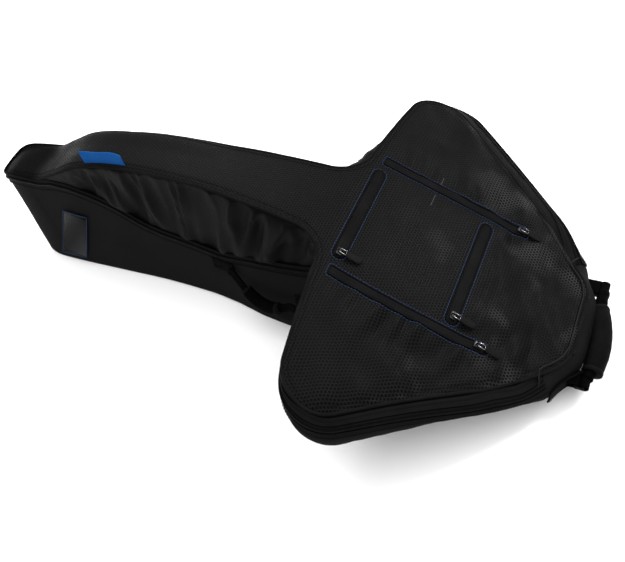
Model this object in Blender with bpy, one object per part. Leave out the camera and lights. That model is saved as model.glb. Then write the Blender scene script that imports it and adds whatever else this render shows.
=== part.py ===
"""Padded gig bag with a deep neck and two swept wings, modelled closed, in metres, +Z up.

+X runs along the bag from the butt of the neck to the handle end, and the bag is symmetric about Y = 0
apart from its side handle, its window and its label. It stands on Z = 0. Every sewn panel is its own
closed solid. The lid turns about a fabric hinge at the handle end.
"""

import math

import bmesh
import bpy
from mathutils import Vector

# ---- driving dimensions, metres ----
BUTT_X = -0.515  # tip of the rounded butt
NOSE_X = -0.420  # where the rounded butt meets the straight neck
END_X = 0.470  # handle end
NOSE_HALF = 0.040  # half width of the neck at NOSE_X
WING_HALF = 0.2693  # half width at the wing tips
WING_DROOP = 0.016  # how far the wing tips sag below the middle of the lid

GAP = 0.0004  # between neighbouring pieces
SHELL = 0.003  # wall panels
LID_PANEL = 0.004  # laminated lid panel
LID_INSET = 0.0028  # lid panel's edge, inside the piping's line
PIPING_RADIUS = 0.0020
FOAM = 0.007
TAPE = 0.0014  # thickness of a zip tape
TAPE_WIDE = 0.010  # width of each main zip tape
STEP = 0.022  # longest step along a seam
WING_SWELL = 0.0135  # how far the wings' soft sides stand out

# (x, height) of the lid's seam line on the centre plane
TOP_PROFILE = (
    (-0.515, 0.172), (-0.460, 0.197), (-0.400, 0.2035), (-0.350, 0.224), (-0.285, 0.252),
    (-0.220, 0.2645), (-0.145, 0.2695), (-0.030, 0.264), (0.070, 0.250), (0.150, 0.2318),
    (0.165, 0.2251), (0.175, 0.2199), (0.375, 0.1149), (0.385, 0.1097), (0.400, 0.102),
    (0.440, 0.083), (0.470, 0.078),
)
# (x, half width, corner radius) of the seam line in plan, from the butt to the handle end
SEAM_CORNERS = (
    (NOSE_X, NOSE_HALF, 0.0), (-0.330, 0.0445, 0.4), (-0.220, 0.0385, 0.6), (-0.030, 0.0425, 0.6),
    (0.1515, 0.058, 0.05), (0.1794, 0.308, 0.0438), (0.392, 0.1428, 0.25), (END_X, 0.0609, 0.06),
    (END_X, 0.0, 0.0),
)
# (x, half width) of the bag where it stands on the ground
KEEL = (
    (-0.500, 0.050), (-0.430, 0.054), (-0.300, 0.051), (-0.210, 0.0485), (-0.120, 0.051),
    (-0.060, 0.058), (0.000, 0.070), (0.060, 0.076), (0.400, 0.086), (0.470, 0.066),
)
# (x, depth) of the main zip below the seam
ZIP_DROP = (
    (-0.515, 0.008), (-0.417, 0.009), (-0.365, 0.017), (-0.328, 0.032), (-0.296, 0.054),
    (-0.261, 0.076), (-0.234, 0.096), (-0.195, 0.123), (-0.150, 0.138), (-0.060, 0.146),
    (0.007, 0.128), (0.090, 0.102), (0.125, 0.086), (0.157, 0.062), (0.1705, 0.034),
    (0.210, 0.025), (0.360, 0.025), (0.410, 0.018), (0.438, 0.012), (0.470, 0.0095),
)
# (x, height) of the underside of the wings
WING_FLOOR = ((0.120, 0.1194), (0.380, 0.056), (0.412, 0.038), (0.441, 0.014), (0.455, 0.0), (0.47, 0.0))

HINGE = Vector((0.4725, 0.0, 0.0795))  # the fold at the handle end that the lid turns about
WING_START = 0.135  # where the wing walls start, in the crotch beside the neck
FLOOR_START = 0.150
KEEL_WALL_END = 0.440
END_WALL_START = 0.4555

POCKET_ZIP_X = (0.176, 0.373)  # the two long pocket zips
POCKET_ZIP_Y = 0.100
CROSS_REAR_X, CROSS_REAR_HALF = 0.177, 0.080
CROSS_FRONT_X, CROSS_FRONT_HALF = 0.324, 0.086
LONG_ZIP_WIDE = 0.012
CROSS_ZIP_WIDE = 0.020
LID_SLOPE = math.atan2(0.2199 - 0.1149, 0.375 - 0.175)  # fall of the lid over the pockets
PULL_LIFT = 0.0072  # height of a pocket pull's hinge above the lid
PULL_DIP = math.radians(4)  # how much a pull leans down from the lid's own slope
PULL_LONG = 0.031

END_AXIS = Vector((0.4810, 0.0, 0.042))  # the end handle's rings turn about this line, along Y
END_RING_Y = 0.071  # middle of each ring
SIDE_REAR = Vector((-0.030, -0.0650, 0.100))  # the side handle hangs between these two points
SIDE_FRONT = Vector((0.074, -0.0850, 0.078))

MAIN_SLIDER_X = 0.360  # where the main slider is parked, on the far side
MAIN_TRACK_X = 0.260  # the other end of its straight run

COLOURS = {
    "lid_fabric": (0.012, 0.012, 0.013),
    "wall_fabric": (0.016, 0.016, 0.017),
    "lining": (0.03, 0.03, 0.032),
    "foam": (0.05, 0.05, 0.055),
    "webbing": (0.014, 0.014, 0.015),
    "binding": (0.012, 0.012, 0.013),
    "zip": (0.010, 0.010, 0.011),
    "metal": (0.32, 0.32, 0.33),
    "rubber": (0.010, 0.010, 0.010),
    "label": (0.02, 0.16, 0.75),
    "window": (0.55, 0.57, 0.60),
}


def clear_scene():
    for obj in list(bpy.data.objects):
        bpy.data.objects.remove(obj, do_unlink=True)


def material(slot):
    mat = bpy.data.materials.get(slot)
    if mat:
        return mat
    mat = bpy.data.materials.new(slot)
    mat.use_nodes = True
    shader = mat.node_tree.nodes["Principled BSDF"]
    shader.inputs["Base Color"].default_value = (*COLOURS[slot], 1)
    shader.inputs["Roughness"].default_value = 0.3 if slot == "metal" else 0.75
    shader.inputs["Metallic"].default_value = 1.0 if slot == "metal" else 0.0
    return mat


# ---- lines and surfaces of the bag ----


def smooth(table, x):
    """Value at x of a curve through the table's points that doesn't overshoot them."""
    if x <= table[0][0]:
        return table[0][1]
    if x >= table[-1][0]:
        return table[-1][1]
    rises = [(b[1] - a[1]) / (b[0] - a[0]) for a, b in zip(table, table[1:])]
    slopes = [rises[0]]
    for before, after in zip(rises, rises[1:]):
        slopes.append(2 * before * after / (before + after) if before * after > 0 else 0.0)
    slopes.append(rises[-1])
    i = next(i for i in range(len(table) - 1) if x <= table[i + 1][0])
    (x0, y0), (x1, y1) = table[i], table[i + 1]
    wide = x1 - x0
    t = (x - x0) / wide
    start = y0 * (1 + 2 * t) * (1 - t) ** 2 + slopes[i] * wide * t * (1 - t) ** 2
    end = y1 * t * t * (3 - 2 * t) + slopes[i + 1] * wide * t * t * (t - 1)
    return start + end


def rounded(corners):
    """Plan line through the corners, each replaced by an arc of its own radius."""
    line = [corners[0][:2]]
    for before, corner, after in zip(corners, corners[1:], corners[2:]):
        here = Vector(corner[:2])
        back = (Vector(before[:2]) - here).normalized()
        ahead = (Vector(after[:2]) - here).normalized()
        turn = math.pi - back.angle(ahead)
        radius = corner[2]
        centre = here + (back + ahead).normalized() * radius / math.cos(turn / 2)
        start = here + back * radius * math.tan(turn / 2) - centre
        finish = here + ahead * radius * math.tan(turn / 2) - centre
        first = math.atan2(start.y, start.x)
        sweep = (math.atan2(finish.y, finish.x) - first + math.pi) % (2 * math.pi) - math.pi
        steps = max(2, math.ceil(abs(sweep) / math.radians(15)))
        for k in range(steps + 1):
            angle = first + sweep * k / steps
            line.append((centre.x + radius * math.cos(angle), centre.y + radius * math.sin(angle)))
    line.append(corners[-1][:2])
    return line


def stepped(line, longest):
    """The same line with no step longer than this."""
    points = [line[0]]
    for a, b in zip(line, line[1:]):
        count = max(1, math.ceil(math.hypot(b[0] - a[0], b[1] - a[1]) / longest - 1e-9))
        for k in range(1, count + 1):
            points.append((a[0] + (b[0] - a[0]) * k / count, a[1] + (b[1] - a[1]) * k / count))
    return points


def half_seam():
    """The seam line in plan on the +Y side, from the tip of the butt to the middle of the handle end."""
    nose = []
    for degrees in range(0, 90, 15):
        angle = math.radians(degrees)
        nose.append((NOSE_X - (NOSE_X - BUTT_X) * math.cos(angle), NOSE_HALF * math.sin(angle)))
    return nose + stepped(rounded(SEAM_CORNERS), STEP)


SEAM = half_seam()


def seam_half(x):
    """Half width of the seam line at x."""
    for (x0, w0), (x1, w1) in zip(SEAM, SEAM[1:]):
        if x0 <= x <= x1 and x1 > x0:
            return w0 + (w1 - w0) * (x - x0) / (x1 - x0)
    return 0.0


def seam_height(x, half):
    return smooth(TOP_PROFILE, x) - WING_DROOP * (half / WING_HALF) ** 4


def zip_height(x, half):
    return seam_height(x, half) - smooth(ZIP_DROP, x)


def outward(line, i):
    """Unit normal of a plan line at its point i, pointing out of the bag."""
    a = Vector(line[max(i - 1, 0)])
    b = Vector(line[min(i + 1, len(line) - 1)])
    along = (b - a).normalized()
    return Vector((-along.y, along.x))


def inset(line, depth):
    """A plan line moved into the bag. Its first and last points stay on the centre plane."""
    moved = []
    for i, point in enumerate(line):
        place = Vector(point) - outward(line, i) * depth
        moved.append((place.x, max(place.y, 0.0)))
    return moved


def between(first, last):
    """The part of the seam line from one x to another, with both ends exact."""
    middle = [p for p in SEAM if first + 1e-4 < p[0] < last - 1e-4]
    return [(first, seam_half(first)), *middle, (last, seam_half(last))]


def neck_point(x, height):
    """Outer face of the neck's side wall, on the +Y side: it widens evenly from the seam to the ground.

    Past the crotch it carries on under the wing as an upright keel wall."""
    half = seam_half(min(x, 0.150))
    share = 1 - height / seam_height(min(x, 0.150), half)
    keel = smooth(KEEL, x)
    blend = min(max((x - WING_START) / 0.03, 0.0), 1.0)
    flared = half + (keel - half) * share
    return Vector((x, flared * (1 - blend) + (keel - 0.004 * height / 0.11) * blend, height))


# ---- solids ----


def to_object(name, bm, slot, shade=True):
    bmesh.ops.recalc_face_normals(bm, faces=bm.faces)
    mesh = bpy.data.meshes.new(name)
    bm.to_mesh(mesh)
    bm.free()
    if shade:
        mesh.shade_smooth()
        mesh.set_sharp_from_angle(angle=math.radians(40))
    obj = bpy.data.objects.new(name, mesh)
    obj.data.materials.append(material(slot))
    bpy.context.scene.collection.objects.link(obj)
    return obj


def slab(name, outer, inner, slot, ring=False):
    """A closed panel between two grids of points, rows by columns. A ring's last row meets its first."""
    bm = bmesh.new()
    out = [[bm.verts.new(p) for p in row] for row in outer]
    back = [[bm.verts.new(p) for p in row] for row in inner]
    rows, columns = len(out), len(out[0])
    pairs = [(i, (i + 1) % rows) for i in range(rows if ring else rows - 1)]
    for i, j in pairs:
        for k in range(columns - 1):
            bm.faces.new((out[i][k], out[j][k], out[j][k + 1], out[i][k + 1]))
            bm.faces.new((back[i][k], back[i][k + 1], back[j][k + 1], back[j][k]))
        for k in (0, columns - 1):
            bm.faces.new((out[i][k], out[j][k], back[j][k], back[i][k]))
    if not ring:
        for i in (0, rows - 1):
            for k in range(columns - 1):
                bm.faces.new((out[i][k], out[i][k + 1], back[i][k + 1], back[i][k]))
    return to_object(name, bm, slot)


def wall(name, columns, thick, slot, lift=0.0):
    """A standing panel. Each column holds its outer points and the plan direction out of the bag."""
    outer = [[p + Vector((*n, 0)) * lift for p in points] for points, n in columns]
    inner = [[p + Vector((*n, 0)) * (lift - thick) for p in points] for points, n in columns]
    return slab(name, outer, inner, slot)


def sheet(name, rows, thick, slot):
    """A lying panel whose upper face is the rows of points."""
    lower = [[p - Vector((0, 0, thick)) for p in row] for row in rows]
    return slab(name, rows, lower, slot)


def tube(name, line, radius, sides, slot, closed=False):
    """A round cord or bar along a line of points, with flat ends unless it is closed."""
    bm = bmesh.new()
    count = len(line)
    rings = []
    for i, point in enumerate(line):
        before = line[(i - 1) % count] if closed or i else line[0]
        after = line[(i + 1) % count] if closed or i < count - 1 else line[-1]
        along = (after - before).normalized()
        side = along.cross(Vector((0, 0, 1)) if abs(along.z) < 0.9 else Vector((1, 0, 0))).normalized()
        up = side.cross(along)
        turns = [2 * math.pi * (k + 0.5) / sides for k in range(sides)]
        rings.append([bm.verts.new(point + radius * (side * math.cos(t) + up * math.sin(t))) for t in turns])
    for i in range(count if closed else count - 1):
        j = (i + 1) % count
        for k in range(sides):
            m = (k + 1) % sides
            bm.faces.new((rings[i][k], rings[i][m], rings[j][m], rings[j][k]))
    if not closed:
        bm.faces.new(rings[0])
        bm.faces.new(rings[-1])
    return to_object(name, bm, slot)


def blocks(name, boxes, slot, bevel=0.0004):
    """Boxes that overlap, joined into one solid. Each is its low and its high corner."""
    parts = []
    for low, high in boxes:
        bm = bmesh.new()
        bmesh.ops.create_cube(bm, size=1)
        for vertex in bm.verts:
            for axis in range(3):
                vertex.co[axis] = low[axis] if vertex.co[axis] < 0 else high[axis]
        parts.append(to_object(name, bm, slot, shade=False))
    body = parts[0]
    for extra in parts[1:]:
        union(body, extra)
    body.name = name
    edge = body.modifiers.new("Soft edges", "BEVEL")
    edge.width = bevel
    edge.segments = 1
    edge.angle_limit = math.radians(50)
    return body


def union(body, extra):
    """Joins extra into body and keeps only the body."""
    join = body.modifiers.new("Union", "BOOLEAN")
    join.operation = "UNION"
    join.object = extra
    graph = bpy.context.evaluated_depsgraph_get()
    mesh = bpy.data.meshes.new_from_object(body.evaluated_get(graph))
    body.modifiers.clear()
    body.data = mesh
    bpy.data.objects.remove(extra, do_unlink=True)


def on_axis(obj, place, tilt=0.0, turn=0.0):
    """Puts a piece modelled about its own origin at its joint, tilted with the lid."""
    obj.rotation_euler = (0, tilt, turn)
    obj.location = place
    return obj


# ---- base: the standing half of the bag ----


def side_columns(x_values, top, bottom, rows, side):
    """Columns of a side wall on the neck or the keel, from top(x) down to bottom(x)."""
    columns = []
    for x in x_values:
        high, low = top(x), bottom(x)
        points = []
        for k in range(rows):
            place = neck_point(x, high + (low - high) * k / (rows - 1))
            place.y *= side
            points.append(place)
        columns.append((points, (0.0, float(side))))
    return columns


def spread(first, last, longest=0.03):
    count = max(1, math.ceil((last - first) / longest))
    return [first + (last - first) * k / count for k in range(count + 1)]


NECK_X = spread(NOSE_X + GAP, 0.118, 0.0225)  # the neck's walls, gussets and tapes share these columns


def side_top(x):
    """Upper edge of the base's side wall: the main zip on the neck, the wings' underside beyond it."""
    if x < WING_START:
        return zip_height(x, seam_half(x)) - GAP
    return max(smooth(WING_FLOOR, x) - GAP, 0.006)


def side_wall(side, label):
    x_values = [*NECK_X, 0.126, WING_START - 0.001, WING_START, *spread(0.150, KEEL_WALL_END)]
    columns = side_columns(x_values, side_top, lambda x: 0.0, 4, side)
    wall(f"side_wall_{label}", columns, SHELL, "wall_fabric")


def butt_columns(top_share, bottom_share):
    """Columns round the butt, from one side of the neck to the other. A share of 0 is the seam, 1 the ground."""
    columns = []
    for degrees in range(-90, 91, 15):
        angle = math.radians(degrees)
        cosine, sine = max(math.cos(angle), 0.0), math.sin(angle)
        upper = Vector((NOSE_X - (NOSE_X - BUTT_X) * cosine, -NOSE_HALF * sine, 0))
        reach = -0.500 - NOSE_X
        lower_half = smooth(KEEL, NOSE_X)
        lower = Vector((NOSE_X + reach * cosine**0.45, -lower_half * math.copysign(abs(sine) ** 0.5, sine), 0))
        seam_z = seam_height(upper.x, abs(upper.y))
        out = Vector((-cosine * 0.9 - 0.02, -sine)).normalized() if abs(degrees) < 90 else Vector((0, -sine))
        points = []
        high = seam_z * (1 - bottom_share) if bottom_share < 1 else 0.0
        top_z = top_share(upper.x, abs(upper.y))
        for k in range(4):
            height = top_z + (high - top_z) * k / 3
            share = 1 - height / seam_z
            place = upper.lerp(lower, share)
            place.z = height
            points.append(place)
        columns.append((points, tuple(out)))
    return columns


def butt_wall():
    top = lambda x, half: zip_height(x, half) - GAP
    wall("butt_wall", butt_columns(top, 1.0), SHELL, "wall_fabric")


def bottom_panel():
    rows = []
    for x in [-0.494, -0.488, -0.480, *spread(-0.465, 0.455), 0.462]:
        half = smooth(KEEL, x) - SHELL - 0.0014
        if x < -0.42:
            half -= 0.022 * ((-0.42 - x) / 0.075) ** 4
        if x > 0.45:
            half = min(half, seam_half(x) - SHELL - 0.006)
        rows.append([Vector((x, half * k, SHELL)) for k in (-1, -0.5, 0, 0.5, 1)])
    sheet("bottom_panel", rows, SHELL, "wall_fabric")


def wing_base_top(x, half):
    return zip_height(x, half) - GAP


def wing_base_low(x, half):
    return smooth(WING_FLOOR, x)


def wing_swell(x, half, height):
    """How far a wing's soft side stands out of the seam line at a height."""
    top = seam_height(x, half) - LID_PANEL - 0.002
    tall = top - smooth(WING_FLOOR, x)
    share = min(max((top - height) / tall, 0.0), 1.0)
    fade = min((x - 0.150) / 0.080, (END_WALL_START - x) / 0.030, 1.0)
    return WING_SWELL * max(fade, 0.0) * math.sin(math.pi * share**0.8)


def wing_columns(first, last, top, bottom, side, rows=4):
    """Columns of a wall under the seam line, between top(x, half) and bottom(x, half).

    The first row stops TAPE_WIDE below the top, so that a zip tape lies flat on the wall. In the crotch
    the wall keeps to the neck's flare."""
    line = between(first, last)
    columns = []
    for i, (x, half) in enumerate(line):
        out = outward(line, i)
        high, low = top(x, half), bottom(x, half)
        drops = [0.0, min(TAPE_WIDE, (high - low) * 0.5)]
        drops += [drops[1] + (high - low - drops[1]) * k / (rows - 2) for k in range(1, rows - 1)]
        points = []
        for drop in drops:
            swell = wing_swell(x, half, high - drop)
            y = half + out.y * swell
            if x < 0.160:
                y = max(y, neck_point(min(x, WING_START), high - drop).y)
            points.append(Vector((x + out.x * swell, side * y, high - drop)))
        columns.append((points, (out.x, side * out.y)))
    return columns


def wing_wall(side, label):
    last = END_WALL_START - GAP
    columns = wing_columns(WING_START, last, wing_base_top, wing_base_low, side, rows=5)
    wall(f"wing_wall_{label}", columns, SHELL, "wall_fabric")


def handle_end_wall():
    near = between(END_WALL_START, END_X)
    line = [(x, -half) for x, half in near] + [(x, half) for x, half in reversed(near)]
    kept = [line[0]]
    for point in line[1:]:
        if math.dist(point, kept[-1]) > 1e-4:
            kept.append(point)
    columns = []
    for i, (x, y) in enumerate(kept):
        a, b = Vector(kept[max(i - 1, 0)]), Vector(kept[min(i + 1, len(kept) - 1)])
        along = (b - a).normalized()
        top = zip_height(x, abs(y)) - GAP
        points = [Vector((x, y, top * (1 - k / 3))) for k in range(4)]
        columns.append((points, (along.y, -along.x)))
    wall("handle_end_wall", columns, SHELL, "wall_fabric")


def wing_floor(side, label):
    rows = []
    line = inset(between(FLOOR_START, 0.4545), SHELL + 2 * GAP)
    for x, outer in line:
        inner = smooth(KEEL, x) - SHELL - 2 * GAP if x < 0.44 else smooth(KEEL, x) + 2 * GAP
        if outer - inner < 0.006 or (rows and x - rows[-1][0].x < 0.002):
            continue
        height = smooth(WING_FLOOR, x) + SHELL
        halves = [inner + (outer - inner) * k / 4 for k in range(5)]
        rows.append([Vector((x, side * half, height)) for half in halves])
    sheet(f"wing_floor_{label}", rows, SHELL, "wall_fabric")


def base_foam():
    rows = []
    for x in spread(-0.480, 0.400):
        half = smooth(KEEL, x) - SHELL - 0.006
        if x < -0.44:
            half -= 0.012
        rows.append([Vector((x, half * k, SHELL + GAP + FOAM)) for k in (-1, 0, 1)])
    sheet("bottom_foam", rows, FOAM, "foam")
    for side, label in ((-1, "near"), (1, "far")):
        rows = []
        for x, outer in inset(between(0.1625, 0.405), SHELL + 0.006):
            inner = smooth(KEEL, x) + 0.002
            if outer - inner < 0.010 or (rows and x - rows[-1][0].x < 0.002):
                continue
            height = smooth(WING_FLOOR, x) + SHELL + GAP + FOAM
            rows.append([Vector((x, side * (inner + (outer - inner) * k / 3), height)) for k in range(4)])
        sheet(f"wing_foam_{label}", rows, FOAM, "foam")


def neck_foam(side, label):
    """Foam board that stiffens the neck's side wall."""
    columns = side_columns(NECK_X[1:-1:2], lambda x: side_top(x) - 0.012, lambda x: SHELL + FOAM + 3 * GAP, 3, side)
    wall(f"neck_foam_{label}", columns, 0.005, "foam", lift=-(SHELL + 0.0012))


def main_zip_tapes():
    """The two halves of the main zip on each side, on the outside of the walls they join."""
    for side, label in ((-1, "near"), (1, "far")):
        for half in ("lid", "base"):
            columns = []
            for x in NECK_X:
                middle = zip_height(x, seam_half(x))
                room = smooth(ZIP_DROP, x) - 2 * PIPING_RADIUS - 2 * GAP
                low, high = (GAP, min(TAPE_WIDE, room)) if half == "lid" else (-TAPE_WIDE, -GAP)
                points = [neck_point(x, middle + high), neck_point(x, middle + low)]
                columns.append(([Vector((p.x, side * p.y, p.z)) for p in points], (0.0, float(side))))
            if half == "lid":
                wings = wing_columns(0.126, 0.440, lid_tape_top, gusset_low, side)
                columns += [([points[0], points[-1]], out) for points, out in wings]
            else:
                wings = wing_columns(0.126, 0.440, wing_base_top, wing_base_low, side, rows=5)
                columns += [(points[:2], out) for points, out in wings]
            wall(f"{half}_zip_tape_{label}", columns, TAPE, "zip", lift=TAPE + 3 * GAP)


def window():
    """Clear pocket for a name card on the near side wall. Its upright edges lean towards the wings."""
    low_left, low_right = (-0.4406, 0.0200), (-0.3818, 0.0212)
    top_left, top_right = (-0.3656, 0.1433), (-0.3151, 0.1388)
    columns = []
    for k in range(5):
        share = k / 4
        top = Vector(top_left).lerp(Vector(top_right), share)
        low = Vector(low_left).lerp(Vector(low_right), share)
        points = []
        for m in range(5):
            place = top.lerp(low, m / 4)
            surface = neck_point(max(place.x, NOSE_X + 0.001), place.y)
            points.append(Vector((place.x, -surface.y, place.y)))
        columns.append((points, (0.0, -1.0)))
    wall("name_window", columns, 0.0010, "window", lift=0.0010 + 2 * GAP)


def neck_strap():
    """Hook-and-loop strap that holds the instrument's neck, lying folded on the foam."""
    rows = []
    for half in (-0.034, -0.02, 0.0, 0.02, 0.034):
        arch = SHELL + 2 * GAP + FOAM + 0.0022
        rows.append([Vector((x, half, arch)) for x in (-0.225, -0.187)])
    sheet("neck_strap", rows, 0.002, "webbing")



# ---- lid: the half that opens ----


def lid_rows(depth, drop, first, last, across):
    """Rows of points across the lid, its edge moved in by depth and its height lowered by drop."""
    rows = []
    for x, half in inset(SEAM, depth):
        if half < 0.004 or not first <= x <= last:
            continue
        if rows and x - rows[-1][0].x < 0.0015:
            continue
        line = []
        for k in range(across + 1):
            y = half * (2 * k / across - 1)
            line.append(Vector((x, y, seam_height(x, abs(y)) - drop)))
        rows.append(line)
    return rows


def lid_panel():
    sheet("lid_panel", lid_rows(LID_INSET, 0.0, -1.0, 1.0, 8), LID_PANEL, "lid_fabric")


def lid_foam():
    drop = LID_PANEL + 4 * GAP + 0.0016
    sheet("lid_foam", lid_rows(0.010, drop, -0.48, 0.44, 4), FOAM, "foam")


def edge_piping():
    half = [Vector((x, w, seam_height(x, w) - PIPING_RADIUS)) for x, w in SEAM]
    other = [Vector((p.x, -p.y, p.z)) for p in reversed(half[1:-1])]
    tube("edge_piping", half + other, PIPING_RADIUS, 6, "binding", closed=True)


def under_lid(x, half):
    """Top of a gusset. It stays lower along the rear of the wings, where the lid falls away inwards."""
    return seam_height(x, half) - LID_PANEL - (0.0032 if 0.150 < x < 0.190 else 2 * GAP)


def gusset_low(x, half):
    return zip_height(x, half) + GAP


def lid_tape_top(x, half):
    room = smooth(ZIP_DROP, x) - 2 * PIPING_RADIUS - 2 * GAP
    return zip_height(x, half) + min(TAPE_WIDE, room)


def gussets():
    """Fabric between the lid panel and the main zip."""
    for side, label in ((-1, "near"), (1, "far")):
        top = lambda x: under_lid(x, seam_half(x))
        bottom = lambda x: gusset_low(x, seam_half(x))
        columns = side_columns(NECK_X, top, bottom, 4, side)
        wall(f"neck_gusset_{label}", columns, SHELL, "wall_fabric")
        columns = wing_columns(0.1184, 0.430, under_lid, gusset_low, side, rows=4)
        wall(f"wing_gusset_{label}", columns, SHELL, "wall_fabric")


def label_tab():
    """Plain woven tab that stands in the near seam of the neck."""
    first, last, tall = -0.256, -0.174, 0.0215
    rows = []
    for k in range(5):
        x = first + (last - first) * k / 4
        low = seam_height(x, 0) + GAP
        y = -seam_half(x) + 0.006
        fall = 0.003 * (k / 4) ** 3
        rows.append(([Vector((x - 0.004, y, low + tall - fall)), Vector((x, y, low))], (0.0, -1.0)))
    wall("label_tab", rows, 0.0012, "label")


def lid_spot(x, y, lift):
    """A point above the sloping part of the lid, lifted along the lid's normal."""
    return Vector((x, y, seam_height(x, 0))) + Vector((math.sin(LID_SLOPE), 0, math.cos(LID_SLOPE))) * lift


def pocket_zips():
    middle = sum(POCKET_ZIP_X) / 2
    long_half = (POCKET_ZIP_X[1] - POCKET_ZIP_X[0]) / 2 / math.cos(LID_SLOPE)
    plans = (
        ("far", middle, POCKET_ZIP_Y, long_half, LONG_ZIP_WIDE / 2),
        ("near", middle, -POCKET_ZIP_Y, long_half, LONG_ZIP_WIDE / 2),
        ("rear", CROSS_REAR_X, 0.0, CROSS_ZIP_WIDE / 2, CROSS_REAR_HALF),
        ("front", CROSS_FRONT_X, 0.0, CROSS_ZIP_WIDE / 2, CROSS_FRONT_HALF),
    )
    for label, x, y, half_long, half_wide in plans:
        low, high = (-half_long, -half_wide, -TAPE / 2), (half_long, half_wide, TAPE / 2)
        tape = blocks(f"pocket_zip_{label}", [(low, high)], "zip", bevel=0.0003)
        on_axis(tape, lid_spot(x, y, 2 * GAP + TAPE / 2), LID_SLOPE)
    for label, first, last in (("rear", 0.190, 0.316), ("front", 0.332, 0.372)):
        rows = []
        for x in (first, last):
            drop = LID_PANEL + 2 * GAP
            rows.append([Vector((x, 0.09 * k, seam_height(x, 0.09 * abs(k)) - drop)) for k in (-1, 0, 1)])
        sheet(f"pocket_lining_{label}", rows, 0.0010, "lining")


# ---- sliders, pulls and handles ----


def slider(name, crosswise):
    """Slider body about its pull's hinge line, which runs along Y."""
    long, wide = (0.0045, 0.0060) if crosswise else (0.0060, 0.0045)
    boxes = [
        ((-long, -wide, -0.0048), (long, wide, -0.0018)),
        ((-0.0034, -0.0014, -0.0022), (-0.0021, 0.0014, 0.0026)),
        ((0.0021, -0.0014, -0.0022), (0.0034, 0.0014, 0.0026)),
        ((-0.0034, -0.0014, 0.0015), (0.0034, 0.0014, 0.0026)),
    ]
    return blocks(name, boxes, "metal", bevel=0.0002)


def pull(name):
    """Ring and rubber tab about the hinge line, which runs along Y. The tab points along +X."""
    boxes = [
        ((-0.0008, -0.0036, -0.0008), (0.0008, 0.0036, 0.0008)),
        ((-0.0008, -0.0036, -0.0008), (0.0100, -0.0022, 0.0008)),
        ((-0.0008, 0.0022, -0.0008), (0.0100, 0.0036, 0.0008)),
        ((0.0092, -0.0045, -0.0011), (PULL_LONG, 0.0045, 0.0011)),
    ]
    return blocks(name, boxes, "rubber", bevel=0.0003)


def pocket_sliders():
    places = (
        ("far", 0.365, POCKET_ZIP_Y, False),
        ("near", 0.3616, -POCKET_ZIP_Y, False),
        ("rear", CROSS_REAR_X, -0.0716, True),
        ("front", CROSS_FRONT_X, -0.0780, True),
    )
    for label, x, y, crosswise in places:
        place = lid_spot(x, y, PULL_LIFT)
        on_axis(slider(f"pocket_slider_{label}", crosswise), place, LID_SLOPE)
        on_axis(pull(f"pocket_pull_{label}"), place, LID_SLOPE + PULL_DIP)


def main_slider():
    """The main zip's slider on the far side, its pull hanging down."""
    half = seam_half(MAIN_SLIDER_X)
    end = Vector((MAIN_TRACK_X, seam_half(MAIN_TRACK_X), 0))
    along = (Vector((MAIN_SLIDER_X, half, 0)) - end).normalized()
    out = Vector((-along.y, along.x, 0))
    height = zip_height(MAIN_SLIDER_X, half)
    place = Vector((MAIN_SLIDER_X, half, height)) + out * (0.0124 + wing_swell(MAIN_SLIDER_X, half, height))
    turn = math.atan2(out.y, out.x)
    boxes = [
        ((-0.0048, -0.0065, -0.0070), (-0.0018, 0.0065, 0.0070)),
        ((-0.0022, -0.0014, 0.0021), (0.0026, 0.0014, 0.0034)),
        ((-0.0022, -0.0014, -0.0034), (0.0026, 0.0014, -0.0021)),
        ((0.0015, -0.0014, -0.0034), (0.0026, 0.0014, 0.0034)),
    ]
    body = blocks("main_slider", boxes, "metal", bevel=0.0002)
    on_axis(body, place, 0, turn)
    hanging = pull("main_pull")
    on_axis(hanging, place, math.radians(90), turn)


def loop(name, place, outer, inner, first, last, slot, tail, half_tall):
    """A webbing loop round a bar along Y through place. Its tail's plan is two rows of (x, y)."""
    sides = 12
    rims = [[], []]
    for radius, rim in ((outer, rims[0]), (inner, rims[1])):
        for k in range(sides):
            angle = 2 * math.pi * k / sides
            x = place.x + radius * math.cos(angle)
            z = place.z + radius * math.sin(angle)
            rim.append([Vector((x, first, z)), Vector((x, last, z))])
    ring = slab(name, rims[0], rims[1], slot, ring=True)
    top = [[Vector((x, y, place.z + half_tall)) for x, y in row] for row in tail]
    low = [[Vector((x, y, place.z - half_tall)) for x, y in row] for row in tail]
    union(ring, slab(name + "_tail", top, low, slot))
    ring.name = name
    return ring


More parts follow.
